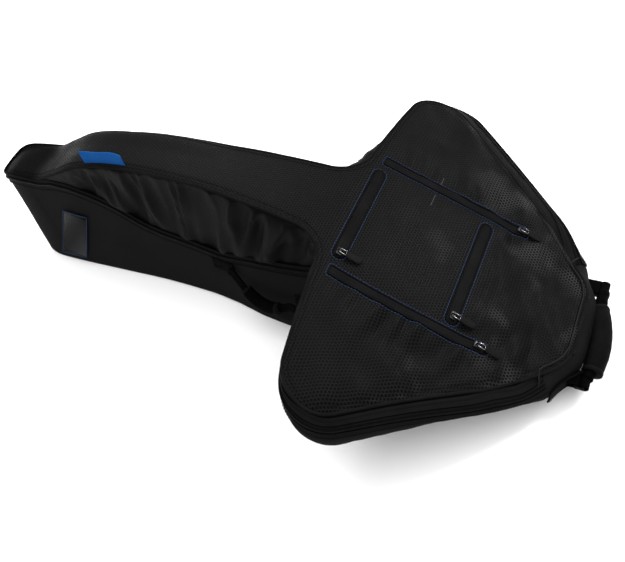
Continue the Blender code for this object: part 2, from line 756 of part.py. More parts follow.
def end_handle():
    """Grab handle across the handle end: two rings in sewn tabs, webbing and a padded grip."""
    x, z = END_AXIS.x, END_AXIS.z
    reach = 0.013  # from the inner bar to the outer bar of a ring
    for side, label in ((-1, "near"), (1, "far")):
        y = side * END_RING_Y
        rows = []
        for edge in (y - 0.0065, y + 0.0065):
            rows.append([(seam_half_x(abs(edge)) + 0.0016, edge), (x - 0.0030, edge)])
        loop(f"end_handle_tab_{label}", END_AXIS, 0.0042, 0.0026, y - 0.0065, y + 0.0065, "webbing", rows, 0.0040)
        bars = [
            ((x - 0.0018, y - 0.0110, z - 0.0018), (x + 0.0018, y + 0.0110, z + 0.0018)),
            ((x + reach - 0.0018, y - 0.0110, z - 0.0018), (x + reach + 0.0018, y + 0.0110, z + 0.0018)),
            ((x - 0.0018, y - 0.0110, z - 0.0018), (x + reach + 0.0018, y - 0.0076, z + 0.0018)),
            ((x - 0.0018, y + 0.0076, z - 0.0018), (x + reach + 0.0018, y + 0.0110, z + 0.0018)),
        ]
        blocks(f"end_handle_ring_{label}", bars, "metal", bevel=0.0006)
        outer = Vector((x + reach, 0, z))
        first, last = sorted((y - side * 0.0068, y + side * 0.0068))
        inner_y = side * 0.0535
        low, high = sorted((inner_y, y))
        far_x = x + reach
        rows = [[(far_x + 0.0030, low), (far_x + 0.0058, low)], [(far_x + 0.0030, high), (far_x + 0.0058, high)]]
        loop(f"end_handle_strap_{label}", outer, 0.0046, 0.0026, first, last, "webbing", rows, 0.0040)
    line = []
    for k in range(11):
        share = k / 10
        bow = 0.004 * math.sin(math.pi * share)
        line.append(Vector((x + reach + 0.0072 + bow, -0.0525 + 0.105 * share, z)))
    tube("end_handle_grip", line, 0.0120, 10, "webbing")


def seam_half_x(half):
    """x where the seam line has this half width, at the handle end."""
    for (x0, w0), (x1, w1) in reversed(list(zip(SEAM, SEAM[1:]))):
        if w1 <= half <= w0:
            return x0 + (x1 - x0) * (w0 - half) / (w0 - w1)
    return END_X


def side_handle():
    """Carry handle on the near side of the neck. Its patches are sewn to the wall, and it hangs between them."""
    along = SIDE_FRONT - SIDE_REAR
    sag, bow = 0.024, 0.010
    line = []
    for k in range(15):
        share = k / 14
        swing = math.sin(math.pi * share)
        line.append(SIDE_REAR + along * share + Vector((0, -bow * swing, -sag * swing)))
    tube("side_handle_grip", line[3:12], 0.0095, 8, "webbing")
    rear = [line[0].lerp(line[1], 0.3), *line[1:3], line[2].lerp(line[3], 0.9)]
    front = [line[11].lerp(line[12], 0.1), *line[12:14], line[13].lerp(line[14], 0.7)]
    tube("side_handle_strap_rear", rear, 0.0040, 6, "webbing")
    tube("side_handle_strap_front", front, 0.0040, 6, "webbing")
    for label, place, spread_x in (("rear", SIDE_REAR, (-0.044, -0.002)), ("front", SIDE_FRONT, (0.002, 0.030))):
        columns = []
        for k in range(3):
            x = place.x + spread_x[0] + (spread_x[1] - spread_x[0]) * k / 2
            points = []
            for height in (place.z + 0.0092, place.z - 0.011):
                columns_here = side_columns([x], lambda a: height, lambda a: height - 0.01, 2, -1)
                points.append(columns_here[0][0][0])
            columns.append((points, (0.0, -1.0)))
        wall(f"side_handle_patch_{label}", columns, 0.0016, "webbing", lift=0.0016 + 2 * GAP)


def butt_gusset():
    """Fabric round the butt between the lid panel and the main zip."""
    columns = []
    for points, out in butt_columns(lambda x, half: under_lid(x, half), 0.0):
        top = points[0]
        low = zip_height(top.x, abs(top.y)) + GAP
        columns.append(([top, Vector((top.x, top.y, min(low, top.z - 0.002)))], out))
    wall("butt_gusset", columns, SHELL, "wall_fabric")


def main():
    clear_scene()
    butt_wall()
    bottom_panel()
    handle_end_wall()
    for side, label in ((-1, "near"), (1, "far")):
        side_wall(side, label)
        wing_wall(side, label)
        wing_floor(side, label)
        neck_foam(side, label)
    base_foam()
    main_zip_tapes()
    window()
    neck_strap()
    lid_panel()
    lid_foam()
    edge_piping()
    gussets()
    butt_gusset()
    label_tab()
    pocket_zips()
    pocket_sliders()
    main_slider()
    end_handle()
    side_handle()


main()
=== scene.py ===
"""Looks for the padded gig bag: sewn shell, pleated gusset, zips, stitching, pulls and padded handles.

Metres, +Z up, in the CAD model's frame. The outline tables repeat the bag's driving dimensions."""

import math

import bmesh
import bpy
from mathutils import Matrix, Vector, kdtree, noise


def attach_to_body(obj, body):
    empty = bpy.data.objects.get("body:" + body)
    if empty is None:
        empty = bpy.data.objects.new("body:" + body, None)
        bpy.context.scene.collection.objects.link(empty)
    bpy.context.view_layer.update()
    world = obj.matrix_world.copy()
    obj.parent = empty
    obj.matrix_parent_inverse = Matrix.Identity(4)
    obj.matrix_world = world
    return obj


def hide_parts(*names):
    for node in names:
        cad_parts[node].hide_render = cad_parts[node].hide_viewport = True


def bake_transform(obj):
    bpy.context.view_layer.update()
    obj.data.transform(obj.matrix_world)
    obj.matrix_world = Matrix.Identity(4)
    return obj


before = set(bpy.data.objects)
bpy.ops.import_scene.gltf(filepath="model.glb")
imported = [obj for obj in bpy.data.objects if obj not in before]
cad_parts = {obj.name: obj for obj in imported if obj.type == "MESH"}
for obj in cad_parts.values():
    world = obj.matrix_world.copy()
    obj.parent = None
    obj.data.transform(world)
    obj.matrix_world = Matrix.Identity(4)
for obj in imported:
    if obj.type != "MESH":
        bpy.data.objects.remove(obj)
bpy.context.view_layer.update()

# ---- driving dimensions, the same as the CAD model's ----
BUTT_X, NOSE_X, END_X = -0.515, -0.420, 0.470
NOSE_HALF, WING_HALF, WING_DROOP = 0.040, 0.2693, 0.016
TOP_PROFILE = (
    (-0.515, 0.172), (-0.460, 0.197), (-0.400, 0.2035), (-0.350, 0.224), (-0.285, 0.252),
    (-0.220, 0.2645), (-0.145, 0.2695), (-0.030, 0.264), (0.070, 0.250), (0.150, 0.2318),
    (0.165, 0.2251), (0.175, 0.2199), (0.375, 0.1149), (0.385, 0.1097), (0.400, 0.102),
    (0.440, 0.083), (0.470, 0.078),
)
SEAM_CORNERS = (
    (NOSE_X, NOSE_HALF, 0.0), (-0.330, 0.0445, 0.4), (-0.220, 0.0385, 0.6), (-0.030, 0.0425, 0.6),
    (0.1515, 0.058, 0.05), (0.1794, 0.308, 0.0438), (0.392, 0.1428, 0.25), (END_X, 0.0609, 0.06),
    (END_X, 0.0, 0.0),
)
KEEL = (
    (-0.500, 0.050), (-0.430, 0.054), (-0.300, 0.051), (-0.210, 0.0485), (-0.120, 0.051),
    (-0.060, 0.058), (0.000, 0.070), (0.060, 0.076), (0.400, 0.086), (0.470, 0.066),
)
ZIP_DROP = (
    (-0.515, 0.008), (-0.417, 0.009), (-0.365, 0.017), (-0.328, 0.032), (-0.296, 0.054),
    (-0.261, 0.076), (-0.234, 0.096), (-0.195, 0.123), (-0.150, 0.138), (-0.060, 0.146),
    (0.007, 0.128), (0.090, 0.102), (0.125, 0.086), (0.157, 0.062), (0.1705, 0.034),
    (0.210, 0.025), (0.360, 0.025), (0.410, 0.018), (0.438, 0.012), (0.470, 0.0095),
)
WING_FLOOR = ((0.120, 0.1194), (0.380, 0.056), (0.412, 0.038), (0.441, 0.014), (0.455, 0.0), (0.47, 0.0))
CROTCH_X = 0.135
FLOOR_X = 0.150
ZIP_END_X = 0.438
PLAN_STEP = 0.004  # longest step along the seam line
ZIP_HALF = 0.0085  # from the middle of the main zip to the wall's top edge
RING_STEP = 0.003  # longest step round a pocket opening
QUILT_PITCH = 0.045
NET_PITCH = 0.0045  # between the dimples of the lid's laminate
UP = Vector((0, 0, 1))
LID_SLOPE = math.atan2(0.2199 - 0.1149, 0.375 - 0.175)

# pocket zips on the lid: middle, half length along X or Y, half width of the opening
POCKETS = {
    "far": ((0.2745, 0.100), "x", 0.111, 0.0058),
    "near": ((0.2745, -0.100), "x", 0.111, 0.0058),
    "rear": ((0.177, 0.000), "y", 0.079, 0.0074),
    "front": ((0.324, -0.003), "y", 0.085, 0.0074),
}
PULL_PLACES = {
    "far": (0.36835, 0.1, 0.1265),
    "near": (0.36495, -0.1, 0.12828),
    "rear": (0.18035, -0.0716, 0.22523),
    "front": (0.32735, -0.078, 0.148),
}
PULL_DIP = math.radians(4)
MAIN_PLACE, MAIN_TURN = (0.37578, 0.18798, 0.09534), 0.9102
END_AXIS = Vector((0.4810, 0.0, 0.042))
SIDE_REAR = Vector((-0.030, -0.0650, 0.100))
SIDE_FRONT = Vector((0.074, -0.0850, 0.078))


# ---- lines of the bag ----


def smooth(table, x):
    """Value at x of a curve through the table's points that doesn't overshoot them."""
    if x <= table[0][0]:
        return table[0][1]
    if x >= table[-1][0]:
        return table[-1][1]
    rises = [(b[1] - a[1]) / (b[0] - a[0]) for a, b in zip(table, table[1:])]
    slopes = [rises[0]]
    for before, after in zip(rises, rises[1:]):
        slopes.append(2 * before * after / (before + after) if before * after > 0 else 0.0)
    slopes.append(rises[-1])
    i = next(i for i in range(len(table) - 1) if x <= table[i + 1][0])
    (x0, y0), (x1, y1) = table[i], table[i + 1]
    wide = x1 - x0
    t = (x - x0) / wide
    start = y0 * (1 + 2 * t) * (1 - t) ** 2 + slopes[i] * wide * t * (1 - t) ** 2
    return start + y1 * t * t * (3 - 2 * t) + slopes[i + 1] * wide * t * t * (t - 1)


def clamp(value, low=0.0, high=1.0):
    return max(low, min(high, value))


def ease(value, low, high):
    """0 below low and 1 above high, with a soft change between them."""
    t = clamp((value - low) / (high - low))
    return t * t * (3 - 2 * t)


def rounded(corners):
    """Plan line through the corners, each replaced by an arc of its own radius."""
    line = [corners[0][:2]]
    for before, corner, after in zip(corners, corners[1:], corners[2:]):
        here = Vector(corner[:2])
        back = (Vector(before[:2]) - here).normalized()
        ahead = (Vector(after[:2]) - here).normalized()
        turn = math.pi - back.angle(ahead)
        radius = corner[2]
        centre = here + (back + ahead).normalized() * radius / math.cos(turn / 2)
        start = here + back * radius * math.tan(turn / 2) - centre
        finish = here + ahead * radius * math.tan(turn / 2) - centre
        first = math.atan2(start.y, start.x)
        sweep = (math.atan2(finish.y, finish.x) - first + math.pi) % (2 * math.pi) - math.pi
        steps = max(2, math.ceil(abs(sweep) * radius / PLAN_STEP))
        for k in range(steps + 1):
            angle = first + sweep * k / steps
            line.append((centre.x + radius * math.cos(angle), centre.y + radius * math.sin(angle)))
    line.append(corners[-1][:2])
    return line


def stepped(line):
    """The line with points added, so that no step is over PLAN_STEP."""
    points = [line[0]]
    for a, b in zip(line, line[1:]):
        count = max(1, math.ceil(math.hypot(b[0] - a[0], b[1] - a[1]) / PLAN_STEP - 1e-9))
        for k in range(1, count + 1):
            point = (a[0] + (b[0] - a[0]) * k / count, a[1] + (b[1] - a[1]) * k / count)
            if math.dist(point, points[-1]) > 5e-4:
                points.append(point)
    return points


def half_seam():
    """The seam line in plan on the +Y side, from the tip of the butt to the middle of the handle end."""
    nose = []
    for degrees in range(0, 90, 3):
        angle = math.radians(degrees)
        nose.append((NOSE_X - (NOSE_X - BUTT_X) * math.cos(angle), NOSE_HALF * math.sin(angle)))
    return nose + stepped(rounded(SEAM_CORNERS))


SEAM = half_seam()


def seam_half(x):
    for (x0, w0), (x1, w1) in zip(SEAM, SEAM[1:]):
        if x0 <= x <= x1 and x1 > x0:
            return w0 + (w1 - w0) * (x - x0) / (x1 - x0)
    return 0.0


def seam_height(x, half):
    return smooth(TOP_PROFILE, x) - WING_DROOP * (half / WING_HALF) ** 4


def zip_height(x, half):
    return seam_height(x, half) - smooth(ZIP_DROP, x)


def zip_place(x, y):
    """Height of the main zip at a point of the seam line. It runs a little higher round the near wing."""
    return zip_height(x, abs(y)) + 0.0085 * ease(-y, 0.09, 0.16) * (1 - ease(x, 0.385, 0.430))


def wing_floor(x, y):
    return smooth(WING_FLOOR, x) - 0.0045 * ease(-y, 0.08, 0.15) * (1 - ease(x, 0.36, 0.42))


def settle(p):
    """Where the soft case has spread beyond its pattern: the butt's far corner and the near wing's tip."""
    butt = math.exp(-(((p.x + 0.503) / 0.036) ** 2) - ((p.y - 0.040) / 0.034) ** 2)
    tip = math.exp(-(((p.x - 0.235) / 0.075) ** 2) - ((p.y + 0.270) / 0.055) ** 2)
    return Vector((-0.0115 * butt, 0.0090 * butt - 0.0045 * tip, 0))


def neck_face(x, height):
    """Half width of the neck at a height. Past the crotch it carries on as the keel under the wings."""
    half = seam_half(min(x, 0.150))
    share = 1 - height / seam_height(min(x, 0.150), half)
    keel = smooth(KEEL, x)
    blend = clamp((x - CROTCH_X) / 0.03)
    flared = half + (keel - half) * share
    return flared * (1 - blend) + (keel - 0.004 * height / 0.11) * blend


def skin(x, y, height):
    """Outer face of the bag below the seam's point (x, y), at a height."""
    side = math.copysign(1.0, y)
    if x < NOSE_X:
        cosine = clamp((NOSE_X - x) / (NOSE_X - BUTT_X))
        sine = clamp(abs(y) / NOSE_HALF)
        foot = (NOSE_X - 0.080 * cosine**0.45, side * 0.0541 * sine**0.5)
        share = 1 - height / seam_height(x, abs(y))
        return Vector((x + (foot[0] - x) * share, y + (foot[1] - y) * share, height))
    if x < 0.160:
        return Vector((x, side * max(abs(y), neck_face(min(x, CROTCH_X), height)), height))
    _, index, _ = OUTLINE_TREE.find((x, y, 0))
    return Vector((x, y, height)) + LOOP[index][2] * swell(x, y, height)


def swell(x, y, height):
    """How far the soft side of a wing stands out of the seam line at a height. It is fuller on the far side
    and at the handle end."""
    top = seam_height(x, abs(y)) - 0.0045
    tall = top - smooth(WING_FLOOR, x)
    share = clamp((top - height) / tall)
    full = 0.0185 + 0.0075 * ease(y, -0.04, 0.06)
    full *= max(ease(x, 0.140, 0.215), 0.4 * ease(-y, 0.140, 0.190))
    end = ease(x, 0.435, 0.462)
    full = full * (1 - end) + (0.0150 - 0.0100 * ease(-y, 0.02, 0.09)) * end
    return full * math.sin(math.pi * share**0.8)


def around():
    """The whole seam line as (x, y, outward normal, distance so far).

    It starts at the handle end and goes round the near side first."""
    near = [(x, -y) for x, y in reversed(SEAM)]
    line = near + SEAM[1:-1]
    found, run = [], 0.0
    for i, (x, y) in enumerate(line):
        a, b = Vector(line[i - 1]), Vector(line[(i + 1) % len(line)])
        along = (b - a).normalized()
        if i:
            run += math.dist(line[i], line[i - 1])
        found.append((x, y, Vector((-along.y, along.x, 0)), run))
    return found


LOOP = around()
OUTLINE_TREE = kdtree.KDTree(len(LOOP))
for index, point in enumerate(LOOP):
    OUTLINE_TREE.insert((point[0], point[1], 0), index)
OUTLINE_TREE.balance()


def ripple(x, y, z=0.0, scale=0.04):
    """Smooth noise from -1 to 1 that repeats from run to run. Scale is the size of a lump in metres."""
    return noise.noise(Vector((x, y, z)) / scale + Vector((37.1, 11.7, 5.3)))


# ---- mesh helpers ----


def new_object(name, bm, materials):
    for vert in bm.verts:
        vert.co += settle(vert.co)
    mesh = bpy.data.meshes.new(name)
    bm.to_mesh(mesh)
    bm.free()
    mesh.shade_smooth()
    obj = bpy.data.objects.new(name, mesh)
    for mat in materials:
        mesh.materials.append(mat)
    bpy.context.scene.collection.objects.link(obj)
    return obj


def grid(name, columns, materials, closed=False, runs=None, wrap=False):
    """A sheet from columns of points. UVs are real distances in metres. Closed joins the last column to the
    first, and wrap joins each column's last point to its first."""
    bm = bmesh.new()
    verts = [[bm.verts.new(p) for p in column] for column in columns]
    layer = bm.loops.layers.uv.new("UVMap")
    if runs is None:
        runs = [0.0]
        middle = len(columns[0]) // 2
        for a, b in zip(columns, columns[1:]):
            runs.append(runs[-1] + (Vector(b[middle]) - Vector(a[middle])).length)
    count, tall = len(columns), len(columns[0])
    falls = []
    for column in columns:
        fall = [0.0]
        for a, b in zip(column, column[1:]):
            fall.append(fall[-1] + (Vector(b) - Vector(a)).length)
        falls.append(fall)
    for i in range(count if closed else count - 1):
        j = (i + 1) % count
        right = runs[j] if j else runs[-1] + (Vector(columns[0][0]) - Vector(columns[-1][0])).length
        for k in range(tall if wrap else tall - 1):
            m = (k + 1) % tall
            face = bm.faces.new((verts[i][k], verts[i][m], verts[j][m], verts[j][k]))
            low = falls[i][m] if m else falls[i][-1] * tall / (tall - 1)
            for loop, uv in zip(face.loops,
                    ((runs[i], falls[i][k]), (runs[i], low), (right, low), (right, falls[j][k]))):
                loop[layer].uv = uv
    return new_object(name, bm, materials)


def thicken(obj, thick, offset=-1.0, inner=0):
    """Gives a sheet its thickness, with the inside in the material that many slots on."""
    solid = obj.modifiers.new("Thickness", "SOLIDIFY")
    solid.thickness = thick
    solid.offset = offset
    solid.material_offset = inner
    solid.use_quality_normals = True
    return obj


def close_ends(obj):
    """Fills a tube's open ends and turns its faces outwards."""
    bm = bmesh.new()
    bm.from_mesh(obj.data)
    bmesh.ops.holes_fill(bm, edges=[e for e in bm.edges if e.is_boundary])
    bmesh.ops.recalc_face_normals(bm, faces=bm.faces)
    bm.to_mesh(obj.data)
    bm.free()


def tube(name, line, radius, sides, materials, closed=False, flat=1.0, up=UP):
    """A cord along a line. Flat squeezes it along up, and radius may be one number or one for each point."""
    columns, count = [], len(line)
    for i, point in enumerate(line):
        before = line[(i - 1) % count] if closed or i else line[0]
        after = line[(i + 1) % count] if closed or i < count - 1 else line[-1]
        along = (Vector(after) - Vector(before)).normalized()
        side = along.cross(up).normalized()
        rise = side.cross(along)
        size = radius[i] if hasattr(radius, "__len__") else radius
        ring = []
        for k in range(sides):
            turn = -2 * math.pi * k / sides
            ring.append(Vector(point) + size * (side * math.cos(turn) + rise * math.sin(turn) * flat))
        columns.append(ring)
    obj = grid(name, columns, materials, closed=closed, wrap=True)
    if not closed:
        close_ends(obj)
    return obj


def ribbon(name, line, normals, wide, thick, materials):
    """A strap with a real thickness, whose face looks along the normals."""
    columns, count, across = [], len(line), 4
    for i, point in enumerate(line):
        point = Vector(point)
        along = (Vector(line[min(i + 1, count - 1)]) - Vector(line[max(i - 1, 0)])).normalized()
        face = Vector(normals[i] if isinstance(normals, list) else normals)
        side = along.cross(face).normalized()
        face = side.cross(along)
        ring = []
        for k in range(across + 1):
            t = 2 * k / across - 1
            ring.append(point + side * t * wide / 2 + face * (thick / 2))
        for k in range(across, -1, -1):
            t = 2 * k / across - 1
            ring.append(point + side * t * wide / 2 - face * (thick / 2))
        columns.append(ring)
    obj = grid(name, columns, materials, wrap=True)
    close_ends(obj)
    obj.data.set_sharp_from_angle(angle=math.radians(50))
    return obj


def add_block(bm, low, high, bevel):
    """A box with softened edges, added to bm."""
    made = bmesh.ops.create_cube(bm, size=1)["verts"]
    for vertex in made:
        vertex.co = [low[a] if vertex.co[a] < 0 else high[a] for a in range(3)]
    edges = {e for v in made for e in v.link_edges}
    bmesh.ops.bevel(bm, geom=list(edges), offset=bevel, segments=2, affect="EDGES", profile=0.6)


def add_bar(bm, a, b, radius, sides=8):
    """A round bar from a to b, with rounded ends, added to bm."""
    a, b = Vector(a), Vector(b)
    along = (b - a).normalized()
    side = along.orthogonal().normalized()
    rise = along.cross(side)
    rings = []
    for shift, size in ((-0.7, 0.55), (0.0, 1.0), (0.0, 1.0), (0.7, 0.55)):
        centre = (a if len(rings) < 2 else b) + along * radius * shift
        rings.append([bm.verts.new(centre + radius * size * (side * math.cos(t) + rise * math.sin(t)))
                      for t in [2 * math.pi * k / sides for k in range(sides)]])
    for first, second in zip(rings, rings[1:]):
        for k in range(sides):
            m = (k + 1) % sides
            bm.faces.new((first[k], first[m], second[m], second[k]))
    bm.faces.new(reversed(rings[0]))
    bm.faces.new(rings[-1])


def stitches(name, lines, mat, long=0.0030, gap=0.0012, thick=0.00055):
    """Thread along lines of (point, normal). Each stitch dips into the cloth at both ends."""
    bm = bmesh.new()
    for line in lines:
        reach = 0.0
        stops = [0.0]
        for (a, _), (b, _) in zip(line, line[1:]):
            stops.append(stops[-1] + (Vector(b) - Vector(a)).length)
        i = 0
        while reach + long < stops[-1]:
            ends = []
            for want in (reach, reach + long / 2, reach + long):
                while stops[i + 1] < want:
                    i += 1
                t = (want - stops[i]) / max(stops[i + 1] - stops[i], 1e-9)
                ends.append((Vector(line[i][0]).lerp(Vector(line[i + 1][0]), t), Vector(line[i][1])))
                if want == reach:
                    mark = i
            i = mark
            (a, n), (mid, _), (b, _) = ends
            side = (b - a).cross(n).normalized() * thick
            up = n.normalized() * thick
            rings = []
            for centre, lift, size in ((a, -0.5, 0.6), (a.lerp(mid, 0.4), 0.75, 1.0),
                    (b.lerp(mid, 0.4), 0.75, 1.0), (b, -0.5, 0.6)):
                base = centre + up * lift
                rings.append([bm.verts.new(base + side * size * s + up * size * u) for s,
                    u in ((-1, 0), (0, 0.9), (1, 0), (0, -0.9))])
            for first, second in zip(rings, rings[1:]):
                for k in range(4):
                    m = (k + 1) % 4
                    bm.faces.new((first[k], second[k], second[m], first[m]))
            bm.faces.new(rings[0])
            bm.faces.new(reversed(rings[-1]))
            reach += long + gap
    bmesh.ops.recalc_face_normals(bm, faces=bm.faces)
    return new_object(name, bm, [mat])


# ---- materials ----


class Nodes:
    """Short names for building a material's nodes."""

    def __init__(self, name):
        self.mat = bpy.data.materials.new(name)
        self.mat.use_nodes = True
        self.tree = self.mat.node_tree
        self.shader = self.tree.nodes["Principled BSDF"]

    def add(self, kind, **values):
        node = self.tree.nodes.new(kind)
        for key, value in values.items():
            setattr(node, key, value)
        return node

    def put(self, socket, value):
        if hasattr(value, "is_output"):
            self.tree.links.new(value, socket)
        else:
            socket.default_value = value

    def math(self, operation, a, b=0.0):
        node = self.add("ShaderNodeMath", operation=operation)
        for socket, value in zip(node.inputs, (a, b)):
            self.put(socket, value)
        return node.outputs[0]

    def vector(self, operation, a, b=(0, 0, 0), c=(0, 0, 0)):
        node = self.add("ShaderNodeVectorMath", operation=operation)
        for socket, value in zip(node.inputs, (a, b, c)):
            self.put(socket, value)
        return node.outputs["Value"] if operation in ("LENGTH", "DOT_PRODUCT") else node.outputs["Vector"]

    def mix(self, share, a, b):
        node = self.add("ShaderNodeMix", data_type="RGBA")
        self.put(node.inputs["Factor"], share)
        self.put(node.inputs["A"], (*a, 1) if isinstance(a, tuple) else a)
        self.put(node.inputs["B"], (*b, 1) if isinstance(b, tuple) else b)
        return node.outputs["Result"]

    def between(self, value, low, high, **values):
        """0 below low and 1 above high."""
        node = self.add("ShaderNodeMapRange", **values)
        self.put(node.inputs["Value"], value)
        node.inputs["From Min"].default_value = low
        node.inputs["From Max"].default_value = high
        return node

    def cloud(self, where, scale, detail=2.0):
        node = self.add("ShaderNodeTexNoise")
        node.inputs["Scale"].default_value = scale
        node.inputs["Detail"].default_value = detail
        self.put(node.inputs["Vector"], where)
        return node.outputs["Fac"]

    def places(self):
        """UV in metres, and the position in the object, which is the same as in the CAD frame."""
        node = self.add("ShaderNodeTexCoord")
        return node.outputs["UV"], node.outputs["Object"]

    def finish(self, colour, rough, height=None, depth=0.0, metallic=0.0, specular=0.5):
        self.put(self.shader.inputs["Base Color"], (*colour, 1) if isinstance(colour, tuple) else colour)
        self.put(self.shader.inputs["Roughness"], rough)
        self.shader.inputs["Metallic"].default_value = metallic
        self.shader.inputs["Specular IOR Level"].default_value = specular
        if height is not None:
            bump = self.add("ShaderNodeBump")
            bump.inputs["Strength"].default_value = 1.0
            bump.inputs["Distance"].default_value = depth
            self.put(bump.inputs["Height"], height)
            self.put(self.shader.inputs["Normal"], bump.outputs["Normal"])
        return self.mat


def honeycomb(name):
    """Laminate embossed with six-sided dimples in a net of raised, slightly shiny ridges. The hollows are
    painted near-black as shade, and pale patches on the wing are painted sheen highlights.
    """
    n = Nodes(name)
    _, place = n.places()
    split = n.add("ShaderNodeSeparateXYZ")
    n.put(split.inputs[0], place)
    flat = n.add("ShaderNodeCombineXYZ")
    n.put(flat.inputs[0], n.math("MULTIPLY", split.outputs["Y"], 1 / NET_PITCH))
    n.put(flat.inputs[1], n.math("MULTIPLY", split.outputs["X"], 1.06 / NET_PITCH))
    root = math.sqrt(3)
    half = (0.5, root / 2, 1)
    back = (-0.5, -root / 2, -1)
    first = n.vector("WRAP", flat.outputs[0], half, back)
    second = n.vector("WRAP", n.vector("ADD", flat.outputs[0], (0.5, root / 2, 0)), half, back)
    nearer = n.math("LESS_THAN", n.vector("LENGTH", first), n.vector("LENGTH", second))
    pick = n.add("ShaderNodeMix", data_type="VECTOR")
    n.put(pick.inputs["Factor"], nearer)
    n.put(pick.inputs[4], second)
    n.put(pick.inputs[5], first)
    size = n.vector("ABSOLUTE", pick.outputs[1])
    slant = n.vector("DOT_PRODUCT", size, (0.5, root / 2, 0))
    apart = n.add("ShaderNodeSeparateXYZ")
    n.put(apart.inputs[0], size)
    hexagon = n.math("MAXIMUM", slant, apart.outputs["X"])
    up = n.between(hexagon, 0.26, 0.46, interpolation_type="SMOOTHSTEP").outputs["Result"]
    worn = n.cloud(place, 22.0, 3.0)
    grain = n.cloud(place, 1400.0, 1.0)
    # Pale patches on the wing are a painted sheen highlight of the creased laminate.
    sheen_patches = n.between(n.cloud(place, 17.0, 2.0), 0.50, 0.70, interpolation_type="SMOOTHSTEP")
    sheen_on_wing = n.between(split.outputs["X"], 0.20, 0.36, interpolation_type="SMOOTHSTEP")
    pale = n.math("MULTIPLY", sheen_patches.outputs["Result"], sheen_on_wing.outputs["Result"])
    net = n.mix(worn, (0.0038, 0.0038, 0.0040), (0.0072, 0.0072, 0.0076))
    # The hollows are painted near-black as shade between the ridges.
    colour = n.mix(up, (0.0008, 0.0008, 0.0009), n.mix(pale, net, (0.0240, 0.0240, 0.0248)))
    rough = n.math("ADD", n.math("MULTIPLY", up, -0.14), n.math("ADD", 0.50, n.math("MULTIPLY", worn, 0.08)))
    height = n.math("ADD", up, n.math("MULTIPLY", grain, 0.15))
    mat = n.finish(colour, rough, height, 0.00045, specular=0.035)
    gloss = n.between(split.outputs["X"], -0.410, -0.385)  # the butt's end is duller
    gloss.inputs["To Min"].default_value = 0.006
    gloss.inputs["To Max"].default_value = 0.035
    n.put(n.shader.inputs["Specular IOR Level"], gloss.outputs["Result"])
    return mat


def woven(name, dark, light, pitch, depth, rough, slant=0.0, specular=0.003):
    """Plain or slanted weave in the cloth's own UV, with slow variation in shade."""
    n = Nodes(name)
    uv, place = n.places()
    split = n.add("ShaderNodeSeparateXYZ")
    n.put(split.inputs[0], uv)
    u, v = split.outputs["X"], split.outputs["Y"]
    if slant:
        u = n.math("ADD", u, n.math("MULTIPLY", v, slant))
    warp = n.math("SINE", n.math("MULTIPLY", u, 2 * math.pi / pitch))
    weft = n.math("SINE", n.math("MULTIPLY", v, 2 * math.pi / pitch))
    weave = n.math("ADD", 0.5, n.math("MULTIPLY", n.math("MULTIPLY", warp, weft), 0.5))
    worn = n.cloud(place, 16.0, 3.0)
    fibre = n.cloud(place, 900.0, 2.0)
    share = n.math("ADD", n.math("MULTIPLY", weave, 0.45), n.math("MULTIPLY", worn, 0.55))
    height = n.math("ADD", weave, n.math("MULTIPLY", fibre, 0.5))
    vary = n.math("ADD", rough - 0.05, n.math("MULTIPLY", worn, 0.1))
    return n.finish(n.mix(share, dark, light), vary, height, depth, specular=specular)


def ribbed(name, dark, light, pitch, depth, rough, across=False):
    """Webbing or zip tape: close ribs along or across the strip."""
    n = Nodes(name)
    uv, place = n.places()
    split = n.add("ShaderNodeSeparateXYZ")
    n.put(split.inputs[0], uv)
    main, other = (split.outputs["Y"], split.outputs["X"]) if across else (split.outputs["X"],
        split.outputs["Y"])
    rib = n.math("SINE", n.math("MULTIPLY", main, 2 * math.pi / pitch))
    twill = n.math("SINE", n.math("MULTIPLY", n.math("ADD", main, n.math("MULTIPLY", other, 0.6)),
        4 * math.pi / pitch))
    height = n.math("ADD", rib, n.math("MULTIPLY", twill, 0.35))
    worn = n.cloud(place, 30.0, 3.0)
    share = n.math("ADD", n.math("MULTIPLY", rib, 0.25), worn)
    return n.finish(n.mix(share, dark, light), rough, height, depth, specular=0.005)


def moulded(name, dark, light, rough, metallic=0.0, grain=0.00006, specular=0.5):
    """Rubber, plastic, plated metal or thread: fine grain and slight wear."""
    n = Nodes(name)
    _, place = n.places()
    worn = n.cloud(place, 120.0, 4.0)
    speck = n.cloud(place, 1800.0, 2.0)
    vary = n.math("ADD", rough - 0.06, n.math("MULTIPLY", worn, 0.12))
    return n.finish(n.mix(worn, dark, light), vary, speck, grain, metallic=metallic, specular=specular)


def clear_film(name):
    """Glossy clear vinyl."""
    n = Nodes(name)
    _, place = n.places()
    wave = n.cloud(place, 26.0, 1.0)
    n.finish((0.010, 0.010, 0.011), 0.25, wave, 0.0002, specular=0.02)
    n.shader.inputs["Alpha"].default_value = 0.06
    return n.mat


def card_with_painted_reflection(name, low, high):
    """Grey insert card with a painted reflection along its diagonal: pale at both ends, dark across the
    middle.
    """
    n = Nodes(name)
    _, place = n.places()
    along = n.vector("DOT_PRODUCT", n.vector("SUBTRACT", place, low), n.vector("SUBTRACT", high, low))
    ramp = n.add("ShaderNodeValToRGB")
    span = (Vector(high) - Vector(low)).length_squared
    n.put(ramp.inputs[0], n.math("MULTIPLY", along, 1 / span))
    stops = ramp.color_ramp.elements
    # Painted reflection: pale at both ends of the diagonal, dark across the middle.
    for stop, shade in ((0.0, 0.042), (1.0, 0.050), (0.30, 0.015), (0.50, 0.002), (0.72, 0.011)):
        element = stops[int(stop)] if stop in (0.0, 1.0) else stops.new(stop)
        element.color = (shade, shade, shade * 1.02, 1)
    return n.finish(ramp.outputs["Color"], 0.35, n.cloud(place, 900.0), 0.00003, specular=0.01)


